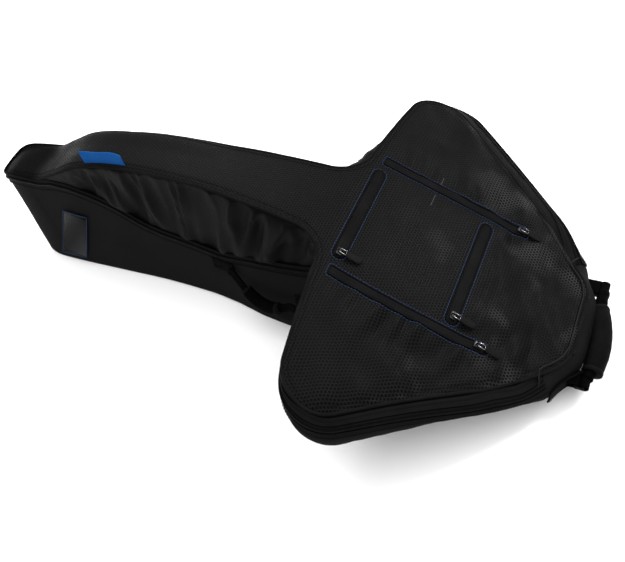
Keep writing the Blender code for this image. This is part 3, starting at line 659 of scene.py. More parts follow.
LID = honeycomb("lid_honeycomb")
WALL = woven("wall_nylon", (0.0040, 0.0040, 0.0041), (0.0105, 0.0105, 0.0107), 0.0013, 0.00022, 0.52)
SOFT = woven("gusset_nylon", (0.0006, 0.0006, 0.0007), (0.0028, 0.0028, 0.0030), 0.0011, 0.00016, 0.42,
    slant=0.3, specular=0.026)
LINING = woven("lining_cloth", (0.010, 0.010, 0.011), (0.022, 0.022, 0.024), 0.0016, 0.0001, 0.7)
BINDING = ribbed("binding_tape", (0.0027, 0.0027, 0.0028), (0.0088, 0.0088, 0.0090), 0.0018, 0.00015, 0.45)
WEBBING = ribbed("webbing", (0.0016, 0.0016, 0.0017), (0.0066, 0.0066, 0.0069), 0.0017, 0.00025, 0.50)
HANDLE_WEB = ribbed("handle_webbing", (0.0006, 0.0006, 0.0007), (0.0028, 0.0028, 0.0029), 0.0017, 0.00025,
    0.50)
# Near-black material for the cords that paint shade lines along the main zip.
SEAM_SHADE = moulded("painted_shade_line", (0.0006, 0.0006, 0.0007), (0.0016, 0.0016, 0.0017), 0.6, specular=0.01)
TAPE = ribbed("zip_tape", (0.0034, 0.0034, 0.0035), (0.0090, 0.0090, 0.0092), 0.0011, 0.00012, 0.45)
COIL = moulded("zip_coil", (0.0022, 0.0022, 0.0023), (0.0062, 0.0062, 0.0064), 0.36, specular=0.015)
METAL = moulded("gunmetal", (0.010, 0.010, 0.0104), (0.030, 0.030, 0.031), 0.30, metallic=1.0, grain=0.00003)
BRIGHT = moulded("bright_plate", (0.16, 0.16, 0.165), (0.34, 0.34, 0.35), 0.22, metallic=1.0, grain=0.00002)
BLACK_METAL = moulded("black_ring", (0.0030, 0.0030, 0.0031), (0.0070, 0.0070, 0.0072), 0.30, specular=0.03)
RUBBER = moulded("pull_rubber", (0.0036, 0.0036, 0.0037), (0.0074, 0.0074, 0.0076), 0.42, specular=0.012)
BLACK_THREAD = moulded("black_thread", (0.0016, 0.0016, 0.0017), (0.0050, 0.0050, 0.0052), 0.5, specular=0.01)
WHITE_THREAD = moulded("pale_thread", (0.050, 0.052, 0.056), (0.090, 0.093, 0.100), 0.5, specular=0.01)
BLUE_THREAD = moulded("blue_thread", (0.013, 0.025, 0.064), (0.030, 0.050, 0.106), 0.5, specular=0.01)
LABEL = ribbed("label_weave", (0.0060, 0.054, 0.200), (0.0130, 0.086, 0.290), 0.0012, 0.00015, 0.5,
    across=True)
FILM = clear_film("window_film")


# ---- lid ----

DENTS = (  # hollows the soft lid keeps: x, y, half length along X and Y, depth
    (0.400, 0.020, 0.016, 0.040, 0.0040), (0.415, -0.045, 0.020, 0.018, 0.0044),
    (0.385, -0.075, 0.016, 0.020, 0.0026), (0.300, -0.150, 0.030, 0.012, 0.0026),
    (0.236, 0.182, 0.020, 0.012, 0.0030), (0.330, 0.128, 0.022, 0.011, 0.0026),
)


def pocket_distance(x, y):
    """Distance from a point of the lid to the nearest pocket zip's opening, in plan."""
    nearest = 1.0
    for (px, py), way, long, wide in POCKETS.values():
        reach = (long * math.cos(LID_SLOPE), wide) if way == "x" else (wide, long)
        out = Vector((max(abs(x - px) - reach[0], 0), max(abs(y - py) - reach[1], 0)))
        nearest = min(nearest, out.length)
    return nearest


def lid_lift(x, y, edge):
    """How far the padded lid stands off its flat shape: rolled edge, swell, puckers and dents."""
    lift = -0.0022 * math.exp(-edge / 0.0035) - 0.0007 * math.exp(-(((edge - 0.0075) / 0.0016) ** 2))
    pocket = pocket_distance(x, y) if x > 0.10 else 1.0
    calm = 1 - math.exp(-pocket / 0.016)
    lift += 0.0022 * (1 - math.exp(-edge / 0.022)) * calm
    lift += 0.0014 * ripple(x, y, 1.0, 0.055) * calm * (1 - math.exp(-edge / 0.02))
    neck = ease(x, -0.47, -0.40) - ease(x, -0.12, 0.02)
    lift += (0.0020 + 0.0035 * ease(y, 0.0, 0.03)) * neck * (1 - math.exp(-edge / 0.0035))
    if x > 0.13:
        inside = (1 - ease(abs(y), 0.086, 0.112)) * (1 - ease(x, 0.325, 0.352))
        near_pocket = math.exp(-pocket / 0.030) * calm * ease(x, 0.150, 0.235) * (1 - 0.9 * inside)
        lift += 0.0200 * near_pocket * ripple(x * 2.2 + 0.4 * abs(y), y * 0.6, 4.0, 0.030)
        fan = ease(x, 0.15, 0.25) * math.exp(-edge / 0.07) * (1 - inside)
        lift += 0.0115 * fan * ripple(x * 1.4 + y * 0.5, y * 0.8 - x * 0.3, 7.0,
            0.040) * (1 - math.exp(-edge / 0.012))
    for dx, dy, long, wide, deep in DENTS:
        lift -= deep * math.exp(-(((x - dx) / long) ** 2) - ((y - dy) / wide) ** 2)
    return lift


def lid_point(x, y, lift=0.0):
    edge = OUTLINE_TREE.find((x, y, 0))[2]
    return Vector((x, y, seam_height(x, abs(y)) + lid_lift(x, y, edge) + lift))


def lid_normal(x, y):
    step = 0.003
    along = lid_point(x + step, y) - lid_point(x - step, y)
    over = lid_point(x, y + step) - lid_point(x, y - step)
    return along.cross(over).normalized()


def lid_panel():
    columns, last = [], -1.0
    for x, half in SEAM:
        if half < 0.001 or x - last < 0.0006:
            continue
        last = x
        column = []
        for k in range(105):
            t = k / 52 - 1
            y = half * math.copysign(1 - (1 - abs(t)) ** 1.45, t)
            column.append(lid_point(x, y))
        columns.append(column)
    panel = grid("lid_skin", [list(reversed(column)) for column in columns], [LID, LINING])
    thicken(panel, 0.0038, inner=1)
    finish_soft(panel, "lid", "lid_fabric", 0.35, "lid_panel")


def quilt(x, y):
    """Height from 0 to 0.5 of a diamond quilted pad."""
    ridge = abs(math.sin(math.pi * (x + y) / QUILT_PITCH)) * abs(math.sin(math.pi * (x - y) / QUILT_PITCH))
    return min(ridge, 0.5)


def floor_puff(x, y, edge):
    """Height of the quilted floor pads, which round off towards their edge."""
    return 0.0055 * math.sqrt(clamp(edge / 0.009)) + 0.0013 * quilt(x, y)


def attach(piece, body, slot, *nodes):
    """The piece rides on the body and stands for the CAD nodes; slot is not used."""
    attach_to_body(piece, body)
    if nodes:
        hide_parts(*nodes)


def finish_soft(piece, body, slot, fill, *nodes):
    attach(piece, body, slot, *nodes)


def edge_piping():
    line = []
    for x, y, out, _ in LOOP:
        wobble = 0.0003 * ripple(x, y, 2.0, 0.02)
        line.append(Vector((x, y, seam_height(x, abs(y)) - 0.0021 + wobble)) - out * 0.0003)
    piece = tube("edge_piping_cover", line, 0.0022, 12, [BINDING], closed=True)
    attach(piece, "lid", "binding", "edge_piping")
    line = []
    for x, y, out, _ in LOOP[3:-3]:
        place = Vector((x, y, 0)) - out * 0.0072
        line.append((lid_point(place.x, place.y, 0.0002), lid_normal(place.x, place.y)))
    thread = stitches("lid_edge_stitches", [line], BLACK_THREAD, thick=0.0004)
    attach(thread, "lid", "binding")


def zip_slope(i):
    """How steeply the main zip climbs at a point of the seam line, as a cosine."""
    a, b = LOOP[i - 1], LOOP[(i + 1) % len(LOOP)]
    rise = zip_place(b[0], b[1]) - zip_place(a[0], a[1])
    return 1 / math.hypot(1, rise / max(math.dist(a[:2], b[:2]), 1e-6))


OPEN_RUN = [i for i, point in enumerate(LOOP) if point[0] < ZIP_END_X + 0.004]


def gusset():
    """Loose cloth between the lid's seam and the main zip, pleated where it is tall."""
    columns, runs = [], []
    for i in OPEN_RUN:
        x, y, out, run = LOOP[i]
        top = seam_height(x, abs(y)) - 0.0034
        low = zip_place(x, y) + 0.0035 / zip_slope(i)
        tall = top - low
        loose = ease(tall, 0.030, 0.085)
        column = []
        for k in range(19):
            t = k / 18
            height = top - tall * t
            place = skin(x, y, height)
            belly = math.sin(math.pi * t) ** 0.8
            drift = run + (0.007 - 0.062 * ease(x, -0.26, 0.0)) * t + 0.007 * ripple(run, t * 0.05, 3.0, 0.05)
            fold = 1 - abs(ripple(drift, 0.022 * t, 9.0, 0.024)) * 2.6
            coarse = ripple(drift * 0.9, height * 0.45, 5.0, 0.034)
            pucker = ripple(run, 0.0, 11.0, 0.009) * math.exp(-t / 0.22)
            deep = 1 + 0.7 * ease(x, -0.12, 0.06)
            pull = (0.0056 * fold + 0.0080 * coarse) * deep * loose * (0.35 + 0.65 * belly) * min(1.0,
                t / 0.08 + 0.2)
            pull += 0.0016 * pucker * loose * min(1.0, t / 0.04)
            roll = 0.021 * math.exp(-(((y - 0.095) / 0.045) ** 2)) * ease(x, 0.095,
                0.135) * (1 - ease(x, 0.19, 0.22))
            place += out * roll * math.sin(math.pi * clamp((top - height) / 0.050) ** 0.6)
            flat = 0.0007 * belly * (1 + ripple(run, height, 6.0, 0.02)) * (1 - loose)
            place += out * (pull * min(1.0, (1 - t) / 0.07) + flat - 0.0022 * loose * belly)
            column.append(place)
        columns.append(list(reversed(column)))
        runs.append(run)
    piece = grid("lid_gusset", columns, [SOFT, LINING], runs=runs)
    thicken(piece, 0.0022, inner=1)
    names = ("neck_gusset_near", "neck_gusset_far", "wing_gusset_near", "wing_gusset_far", "butt_gusset")
    finish_soft(piece, "lid", "wall_fabric", 0.15, *names)


def zip_line(shift, lift):
    """Points along the main zip, moved up by shift and out by lift, with their outward normals."""
    line = []
    for i in OPEN_RUN:
        x, y, out, run = LOOP[i]
        height = zip_place(x, y) + shift / zip_slope(i)
        place = skin(x, y, height) + out * lift
        line.append((place, out, run))
    return line


def main_zip():
    """The two tapes of the main zip, their coils, their stitching, and near-black cords painted as shade
    lines along the tapes' folded edges.
    """
    for half, body, sign, names in (
        ("lid", "lid", 1, ("lid_zip_tape_near", "lid_zip_tape_far")),
        ("base", "base", -1, ("base_zip_tape_near", "base_zip_tape_far")),
    ):
        rows = []
        for shift, lift in (
            (0.0004, 0.0010), (0.0018, 0.0012), (0.0032, 0.0008),
            (0.0080, 0.0007), (0.0104, 0.0006), (0.0106, -0.0002),
        ):
            rows.append(zip_line(sign * shift, lift + 0.0006))
        order = rows if sign > 0 else list(reversed(rows))
        columns = [[row[i][0] for row in order] for i in range(len(rows[0]))]
        tape = grid(f"{half}_zip_tape", columns, [TAPE], runs=[p[2] for p in rows[0]])
        thicken(tape, 0.0009)
        attach(tape, body, "zip", *names)
        line = [(p + out * 0.0004, out) for p, out, _ in zip_line(sign * 0.0088, 0.0016)]
        thread = stitches(f"{half}_zip_stitches", [line], BLACK_THREAD, thick=0.0004)
        attach(thread, body, "zip")
        # Near-black cords at the tape's inner and outer edges are painted shade lines.
        for n, shift in (("inner", 0.0037), ("outer", 0.0107)):
            edge = [p for p, _, _ in zip_line(sign * shift, 0.0014 if n == "inner" else 0.0008)]
            fold = tube(f"{half}_zip_shade_line_{n}", edge, 0.0007, 6, [SEAM_SHADE])
            attach(fold, body, "zip")
        coil = teeth(f"{half}_zip_coil", zip_line(0.0, 0.0022), sign, 0.0024)
        attach(coil, body, "zip")


def teeth(name, line, sign, pitch):
    """One side of a zip's coil: a row of small rounded teeth that reach past the middle."""
    bm = bmesh.new()
    reach = pitch / 2 if sign > 0 else 0.0
    stops = [0.0]
    for a, b in zip(line, line[1:]):
        stops.append(stops[-1] + (b[0] - a[0]).length)
    i = 0
    while reach < stops[-1]:
        while stops[i + 1] < reach:
            i += 1
        t = (reach - stops[i]) / max(stops[i + 1] - stops[i], 1e-9)
        centre = line[i][0].lerp(line[i + 1][0], t)
        along = (line[i + 1][0] - line[i][0]).normalized()
        out = line[i][1]
        up = out.cross(along).normalized() * sign
        if up.z * sign < 0:
            up = -up
        rings = []
        for shift, lift, size in ((-0.0011, 0.0, 0.7), (-0.0006, 0.0006, 1.0), (0.0018, 0.0005, 0.9),
                (0.0028, -0.0004, 0.8)):
            base = centre + up * shift + out * lift
            rings.append([bm.verts.new(base + along * a * size * pitch * 0.27 + out * b * 0.0006) for a,
                b in ((-1, -1), (-0.8, 1), (0.8, 1), (1, -1))])
        for first, second in zip(rings, rings[1:]):
            for k in range(4):
                m = (k + 1) % 4
                bm.faces.new((first[k], first[m], second[m], second[k]))
        bm.faces.new(reversed(rings[0]))
        bm.faces.new(rings[-1])
        reach += pitch
    bmesh.ops.recalc_face_normals(bm, faces=bm.faces)
    return new_object(name, bm, [COIL])


def lid_lining():
    """Quilted foam pad under the lid, seen when it is open."""
    columns, last = [], -1.0
    for x, half in SEAM:
        if half < 0.014 or x - last < 0.003 or not -0.48 < x < 0.44:
            continue
        last = x
        wide = half - 0.010 - 0.012 * (ease(x, 0.14, 0.155) - ease(x, 0.2, 0.24))
        column = []
        for k in range(41):
            y = wide * (k / 20 - 1)
            edge = min(wide - abs(y), 0.48 + x, 0.44 - x)
            puff = 0.004 * math.sqrt(clamp(edge / 0.01)) + 0.0014 * quilt(x, y)
            column.append(Vector((x, y, seam_height(x, abs(y)) - 0.0062 - puff)))
        columns.append(column)
    pad = grid("lid_lining_pad", columns, [LINING])
    thicken(pad, 0.002, offset=-1)
    finish_soft(pad, "lid", "lining", 0.3, "lid_foam", "pocket_lining_rear", "pocket_lining_front")


def label_tab():
    """Plain blue woven label standing in the near seam."""
    first, last = -0.256, -0.174
    columns, line = [], []
    for i in range(29):
        t = i / 28
        x = first + (last - first) * t
        y = -seam_half(x) + 0.0052
        low = seam_height(x, 0) - 0.001
        tall = 0.0222 - 0.0015 * math.sin(math.pi * t * 2.2) - 0.0035 * t**3
        column = []
        for k in range(9):
            v = k / 8
            sway = 0.0016 * math.sin(2.6 * math.pi * t + 0.5) * v + 0.0022 * v * v
            column.append(Vector((x - 0.004 * v, y + sway, low + tall * v)))
        columns.append(column)
        if 1 < i < 27:
            line.append((column[1] + Vector((0, -0.0008, 0)), Vector((0, -1, 0))))
    tab = grid("label_cloth", [list(reversed(column)) for column in columns], [LABEL])
    thicken(tab, 0.0010, offset=0)
    attach(tab, "lid", "label", "label_tab")


# ---- pocket zips ----


def pocket_frame(label):
    """Middle point, unit direction and half sizes of a pocket zip, in plan."""
    (x, y), way, long, wide = POCKETS[label]
    along = Vector((1, 0)) if way == "x" else Vector((0, 1))
    return Vector((x, y)), along, (long * math.cos(LID_SLOPE) if way == "x" else long), wide


def pocket_bow(label, t):
    """The sideways bow of a long zip, in plan. The soft lid lets it sag."""
    return {"near": -0.0035, "far": 0.001}.get(label, 0.0) * (1 - t * t)


def pocket_ring(label, grow, lift, corner):
    """Points with normals on a rounded rectangle round a pocket zip, grown outwards."""
    centre, along, long, wide = pocket_frame(label)
    over = Vector((-along.y, along.x))
    stretch = 1 / math.cos(LID_SLOPE) if abs(along.x) < 0.5 else 1.0
    long, wide = long + grow, wide + grow
    corner = min(corner, wide * 0.98)
    path = []
    for turn, (a, b) in enumerate(((1, 1), (-1, 1), (-1, -1), (1, -1))):
        middle = Vector((a * (long - corner), b * (wide - corner)))
        for k in range(7):
            angle = math.pi / 2 * (turn + k / 6)
            path.append(middle + corner * Vector((math.cos(angle), math.sin(angle))))
    path.append(path[0])
    line = []
    for a, b in zip(path, path[1:]):
        count = max(1, math.ceil((b - a).length / RING_STEP))
        for k in range(count):
            p = a.lerp(b, k / count)
            bow = pocket_bow(label, clamp(p.x / long, -1, 1))
            spot = centre + along * p.x + over * (p.y / stretch + bow)
            line.append((lid_point(spot.x, spot.y, lift), lid_normal(spot.x, spot.y)))
    line.append(line[0])
    return line


def pocket_zips():
    """Each opening: turned edge, tape, coil and blue stitching, all lying on the lid."""
    for label in POCKETS:
        centre, along, long, wide = pocket_frame(label)
        over = Vector((-along.y, along.x))
        cross = label in ("rear", "front")
        stretch = 1 / math.cos(LID_SLOPE) if cross else 1.0
        columns = []
        for i in range(61):
            t = 2 * i / 60 - 1
            column = []
            for k in range(13):
                v = 2 * k / 12 - 1
                ridge = 0.0010 * math.exp(-(((abs(v * wide) - 0.0020) / 0.0013) ** 2))
                span = long - (wide * (1 - math.sqrt(1 - v * v * 0.92)) if cross and t > 0 else 0)
                spot = centre + along * t * span + over * (v * wide / stretch + pocket_bow(label, t))
                column.append(lid_point(spot.x, spot.y, 0.0006 + ridge))
            columns.append(column)
        tape = grid(f"pocket_tape_{label}", [list(reversed(c)) for c in columns], [TAPE])
        thicken(tape, 0.0008)
        attach(tape, "lid", "zip", f"pocket_zip_{label}")
        corner = 0.008 if cross else 0.0012
        ring = [p for p, _ in pocket_ring(label, 0.0006, 0.0009, corner)][:-1]
        lip = tube(f"pocket_edge_{label}", ring, 0.0009, 6, [SOFT], closed=True)
        attach(lip, "lid", "wall_fabric")
        rows = [pocket_ring(label, 0.0032, 0.0001, corner + 0.002)]
        thread = stitches(f"pocket_stitches_{label}", rows, BLUE_THREAD, long=0.0034, gap=0.0011,
            thick=0.00048)
        attach(thread, "lid", "label")


def bar_tacks():
    """Two short rows of pale thread across the far pocket zip's stitching."""
    rows = []
    for reach in ((0.010, 0.026), (-0.034, -0.010)):
        line = []
        for k in range(9):
            y = 0.100 + reach[0] + (reach[1] - reach[0]) * k / 8
            line.append((lid_point(0.250, y, 0.0002), lid_normal(0.250, y)))
        rows.append(line)
    thread = stitches("bar_tacks", rows, WHITE_THREAD, long=0.0030, gap=0.0006, thick=0.00045)
    attach(thread, "lid", "label")


# ---- base ----


def soft_dent(x, z, seed, amount, scale=0.07):
    return amount * ripple(x, z * 0.7, seed, scale)


def neck_wall():
    """Stiffened wall round the neck and butt, and on under the wings as the keel."""
    reach = [x for x, _ in SEAM if NOSE_X <= x < CROTCH_X]
    reach += [CROTCH_X + (0.440 - CROTCH_X) * k / 60 for k in range(61)]
    butt = [(x, y, out) for x, y, out, _ in LOOP if x < NOSE_X]
    columns = []

    def keel_column(x, side):
        half = seam_half(x)
        under = x >= CROTCH_X
        top = smooth(WING_FLOOR, x) + 0.002 if under else zip_height(x, half) - ZIP_HALF
        column = []
        for k in range(25):
            height = max(top * (1 - k / 24), 0.0)
            y = neck_face(x, height)
            t = k / 24
            belly = math.sin(math.pi * t)
            y += belly * (soft_dent(x, height, 20 + side, 0.0012) - 0.0006)
            crease = math.exp(-height / 0.07) * ripple(x * 1.5 - height * 1.2, height * 0.3, 31 + side, 0.030)
            y += 0.0024 * belly * crease * ease(x, -0.28, -0.10)
            y -= 0.0026 * (1 - math.sqrt(clamp(1 - (1 - clamp(height / 0.0026)) ** 2)))
            y += 0.008 * math.exp(-(((x - 0.070) / 0.055) ** 2) - ((height - 0.026) / 0.013) ** 2)
            column.append(Vector((x, side * y, height)))
        return column

    for x in reversed(reach):
        columns.append(keel_column(x, -1.0))
    for x, y, out in butt:
        top = zip_height(x, abs(y)) - ZIP_HALF
        column = []
        for k in range(25):
            height = max(top * (1 - k / 24), 0.0)
            place = skin(x, y, height)
            place -= out * 0.0026 * (1 - math.sqrt(clamp(1 - (1 - clamp(height / 0.0026)) ** 2)))
            place += out * math.sin(math.pi * k / 24) * soft_dent(x + y, height, 22, 0.0012)
            column.append(place)
        columns.append(column)
    for x in reach:
        columns.append(keel_column(x, 1.0))
    piece = grid("neck_wall_skin", [list(reversed(column)) for column in columns], [WALL, LINING])
    thicken(piece, 0.0035, inner=1)
    names = ("side_wall_near", "side_wall_far", "butt_wall", "neck_foam_near", "neck_foam_far")
    finish_soft(piece, "base", "wall_fabric", 0.2, *names)


def wing_walls():
    """One wall from the near crotch round the near wing, the handle end and the far wing."""
    far = [(x, w) for x, w in SEAM if x > CROTCH_X - 0.003]
    near = [(x, -w) for x, w in reversed(far[:-1])]
    plan = far + near
    columns = []
    for i, (x, y) in enumerate(plan):
        a, b = Vector(plan[max(i - 1, 0)]), Vector(plan[min(i + 1, len(plan) - 1)])
        along = (b - a).normalized()
        out = Vector((-along.y, along.x, 0))
        half = abs(y)
        slack = ease(x, ZIP_END_X - 0.006, ZIP_END_X + 0.006)
        top = (zip_place(x, y) - ZIP_HALF) * (1 - slack) + (seam_height(x, half) - 0.0034) * slack
        floor = wing_floor(x, y)
        tall = top - floor
        column = []
        for k in range(25):
            t = k / 24
            height = top - tall * t
            bulge = swell(x, y, height)
            above = height - floor
            lowness = 1 - clamp(above / 0.011)
            tuck = 0.011 * clamp((tall - 0.02) / 0.02) * (1 - math.sqrt(clamp(1 - lowness ** 2)))
            place = Vector((x, y, height))
            if x < 0.160:
                place.y = math.copysign(max(half, neck_face(min(x, CROTCH_X), height)), y)
            soft = math.sin(math.pi * t) * (soft_dent(x + 0.4 * y, height + y, 40, 0.0016, 0.06))
            crease = 0.0008 * math.sin(math.pi * t) * ripple(x * 1.5 + y * 1.5, height * 0.5, 44, 0.024)
            place += out * (bulge - tuck + soft + crease)
            column.append(place)
        columns.append(column)
    piece = grid("wing_wall_skin", [list(reversed(column)) for column in columns], [WALL, LINING])
    thicken(piece, 0.0030, inner=1)
    finish_soft(piece, "base", "wall_fabric", 0.25, "wing_wall_near", "wing_wall_far", "handle_end_wall")
    return columns


def hinge_lining(columns):
    """Lining cloth inside the handle end, which joins the lid to the base where the zip stops."""
    tops = [column[0] for column in columns if column[0].x > ZIP_END_X]
    rows = []
    for i, top in enumerate(tops):
        run = (tops[min(i + 1, len(tops) - 1)] - tops[max(i - 1, 0)]).normalized()
        inward = Vector((run.y, -run.x, 0))
        rows.append([Vector((top.x, top.y, top.z - 0.010 + 0.018 * k / 18)) + inward * 0.0052
            for k in range(19)])
    piece = grid("hinge_lining", rows, [LINING])
    thicken(piece, 0.0010)
    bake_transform(piece)


def wing_floors(columns):
    """Underside of each wing, from the keel to the tucked lower edge of the wing's wall."""
    for side, label in ((-1, "near"), (1, "far")):
        rim = [column[-1] for column in columns if column[-1].y * side > 0 and FLOOR_X < column[-1].x < 0.452]
        rim = [p for p in rim if abs(p.y) > neck_face(p.x, p.z) + 0.002]
        rows = []
        for p in rim:
            inner = neck_face(p.x, p.z) - 0.001
            row = []
            for k in range(15):
                t = k / 14
                sag = 0.0015 * math.sin(math.pi * t) * (1 + ripple(p.x, p.y * t, 50, 0.05))
                row.append(Vector((p.x, side * (inner + (abs(p.y) - inner) * t), p.z - sag + 0.0002)))
            rows.append(row)
        piece = grid(f"wing_underside_{label}", rows, [WALL, LINING])
        thicken(piece, 0.0030, inner=1)
        finish_soft(piece, "base", "wall_fabric", 0.2, f"wing_floor_{label}")
        pad_rows = []
        for p in rim[3::2]:
            if p.x > 0.405:
                continue
            inner, outer = neck_face(p.x, p.z) + 0.003, abs(p.y) - 0.005
            if outer - inner < 0.012:
                continue
            row = []
            for k in range(31):
                t = k / 30
                y = inner + (outer - inner) * t
                edge = min(y - inner, outer - y)
                row.append(Vector((p.x, side * y, p.z + 0.0036 + floor_puff(p.x, y, edge))))
            pad_rows.append(list(reversed(row)))
        pad = grid(f"wing_pad_{label}", pad_rows, [LINING])
        thicken(pad, 0.0022)
        finish_soft(pad, "base", "lining", 0.35, f"wing_foam_{label}")


def bottom():
    """Ground panel, the quilted pad inside it and the strap that holds the neck."""
    rows = []
    for k in range(141):
        x = -0.4985 + (0.4655 + 0.4985) * k / 140
        half = smooth(KEEL, x) - 0.0042
        if x < -0.43:
            half = 0.0495 * math.sqrt(max(1 - ((-0.43 - x) / 0.0705) ** 4, 0.02))
        if x > 0.44:
            half = min(half, seam_half(x) - 0.004)
        rows.append([Vector((x, half * (m / 6 - 1), 0.0003)) for m in range(12, -1, -1)])
    piece = grid("bottom_skin", [list(reversed(row)) for row in rows], [WALL, LINING])
    thicken(piece, 0.0026)
    finish_soft(piece, "base", "wall_fabric", 0.1, "bottom_panel")
    rows = []
    for k in range(221):
        x = -0.478 + 0.876 * k / 220
        half = smooth(KEEL, x) - 0.0085 - (0.012 if x < -0.44 else 0.0)
        row = []
        for m in range(33):
            y = half * (m / 16 - 1)
            edge = min(half - abs(y), x + 0.478, 0.398 - x)
            row.append(Vector((x, y, 0.0036 + floor_puff(x, y, edge))))
        rows.append(list(reversed(row)))
    pad = grid("bottom_pad", rows, [LINING])
    thicken(pad, 0.0022)
    finish_soft(pad, "base", "lining", 0.35, "bottom_foam")
    line = [Vector((-0.206, y, 0.0132 + 0.001 * math.cos(math.pi * y / 0.068)))
        for y in [0.034 * (k / 10 - 1) for k in range(21)]]
    strap = ribbon("neck_hold_strap", line, Vector((0, 0, 1)), 0.037, 0.0018, [WEBBING])
    attach(strap, "base", "webbing", "neck_strap")


def window():
    """Card window: insert card, clear film and blue binding thread round it."""
    low = [Vector((-0.4406, 0.0200)), Vector((-0.3818, 0.0212))]
    top = [Vector((-0.3656, 0.1433)), Vector((-0.3151, 0.1388))]

    def spot(s, t, lift):
        flat = top[0].lerp(top[1], s).lerp(low[0].lerp(low[1], s), t)
        face = Vector((flat.x, -neck_face(max(flat.x, NOSE_X), flat.y), flat.y))
        return Vector((flat.x, face.y - lift, flat.y))

    def pane(name, mat, lift, thick, margin):
        count = 16
        columns = []
        for i in range(count + 1):
            s = margin + (1 - 2 * margin) * i / count
            columns.append([spot(s, margin * 0.5 + (1 - margin) * k / count, lift) for k in range(count + 1)])
        piece = grid(name, columns, [mat])
        thicken(piece, thick)
        attach(piece, "base", "window")
        return piece

    middle, slope = Vector((low[0].x, 0, low[0].y)), Vector((-0.687, 0, 0.726))
    card = card_with_painted_reflection("window_card_painted_reflection", tuple(middle - slope * 0.0395), tuple(middle + slope * 0.0380))
    pane("window_card_insert", card, 0.0032, 0.0004, 0.02)
    film = pane("window_pane", FILM, 0.0040, 0.0005, 0.0)
    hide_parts("name_window")
    edge = []
    for a, b in (((0, 0), (1, 0)), ((1, 0), (1, 1)), ((1, 1), (0, 1)), ((0, 1), (0, 0))):
        edge += [spot(a[0] + (b[0] - a[0]) * k / 14, a[1] + (b[1] - a[1]) * k / 14, 0.0040)
            for k in range(14)]
    bound = tube("window_binding", edge, 0.0006, 6, [BLUE_THREAD], closed=True, up=Vector((0, 1, 0)))
    attach(bound, "base", "label")


# ---- handles ----


def webbing_patch(name, centre, along, face, long, wide, slot_nodes):
    """A strip of webbing sewn flat to the wall, with its box stitching."""
    side = along.cross(face).normalized()
    line = [centre + along * long * (k / 8 - 0.5) for k in range(9)]
    strip = ribbon(name, line, face, wide, 0.0017, [WEBBING])
    attach(strip, "base", "webbing")
    if slot_nodes:
        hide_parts(*slot_nodes)
    lift = face * 0.0011
    a, b = long / 2 - 0.003, wide / 2 - 0.0025
    corners = [centre + along * u * a + side * v * b + lift for u,
        v in ((1, 1), (1, -1), (-1, -1), (-1, 1), (1, 1), (-1, -1), (-1, 1), (1, -1))]
    thread = stitches(name + "_stitches", [[(c, face) for c in corners]], BLACK_THREAD, long=0.0022,
        gap=0.001, thick=0.0004)
    attach(thread, "base", "webbing")


def padded_grip(name, line, radius, flat, up, body, node, slim=0.10, cover=WEBBING):
    """A webbing-covered foam grip: crowned sleeve and bound ends."""
    count = len(line)
    sizes = []
    for i in range(count):
        t = i / (count - 1)
        full = 1 - slim * (2 * t - 1) ** 2 + 0.03 * ripple(t * 0.2, 0.1, 60, 0.02)
        sizes.append(radius * full)
    sleeve = tube(name, line, sizes, 28, [cover], flat=flat, up=up)
    attach(sleeve, body, "webbing", node)
    for end, index in (("a", 0), ("b", count - 1)):
        near = line[min(index + 1, count - 1)] if index == 0 else line[index - 1]
        along = (Vector(near) - Vector(line[index])).normalized()
        start = Vector(line[index]) - along * 0.0006
        rim = [start + along * 0.0022 * k for k in range(3)]
        cuff = tube(f"{name}_cuff_{end}", rim,
            [sizes[index] * 1.03, sizes[index] * 1.05, sizes[index] * 1.02], 28, [BINDING], flat=flat, up=up)
        attach(cuff, body, "binding")


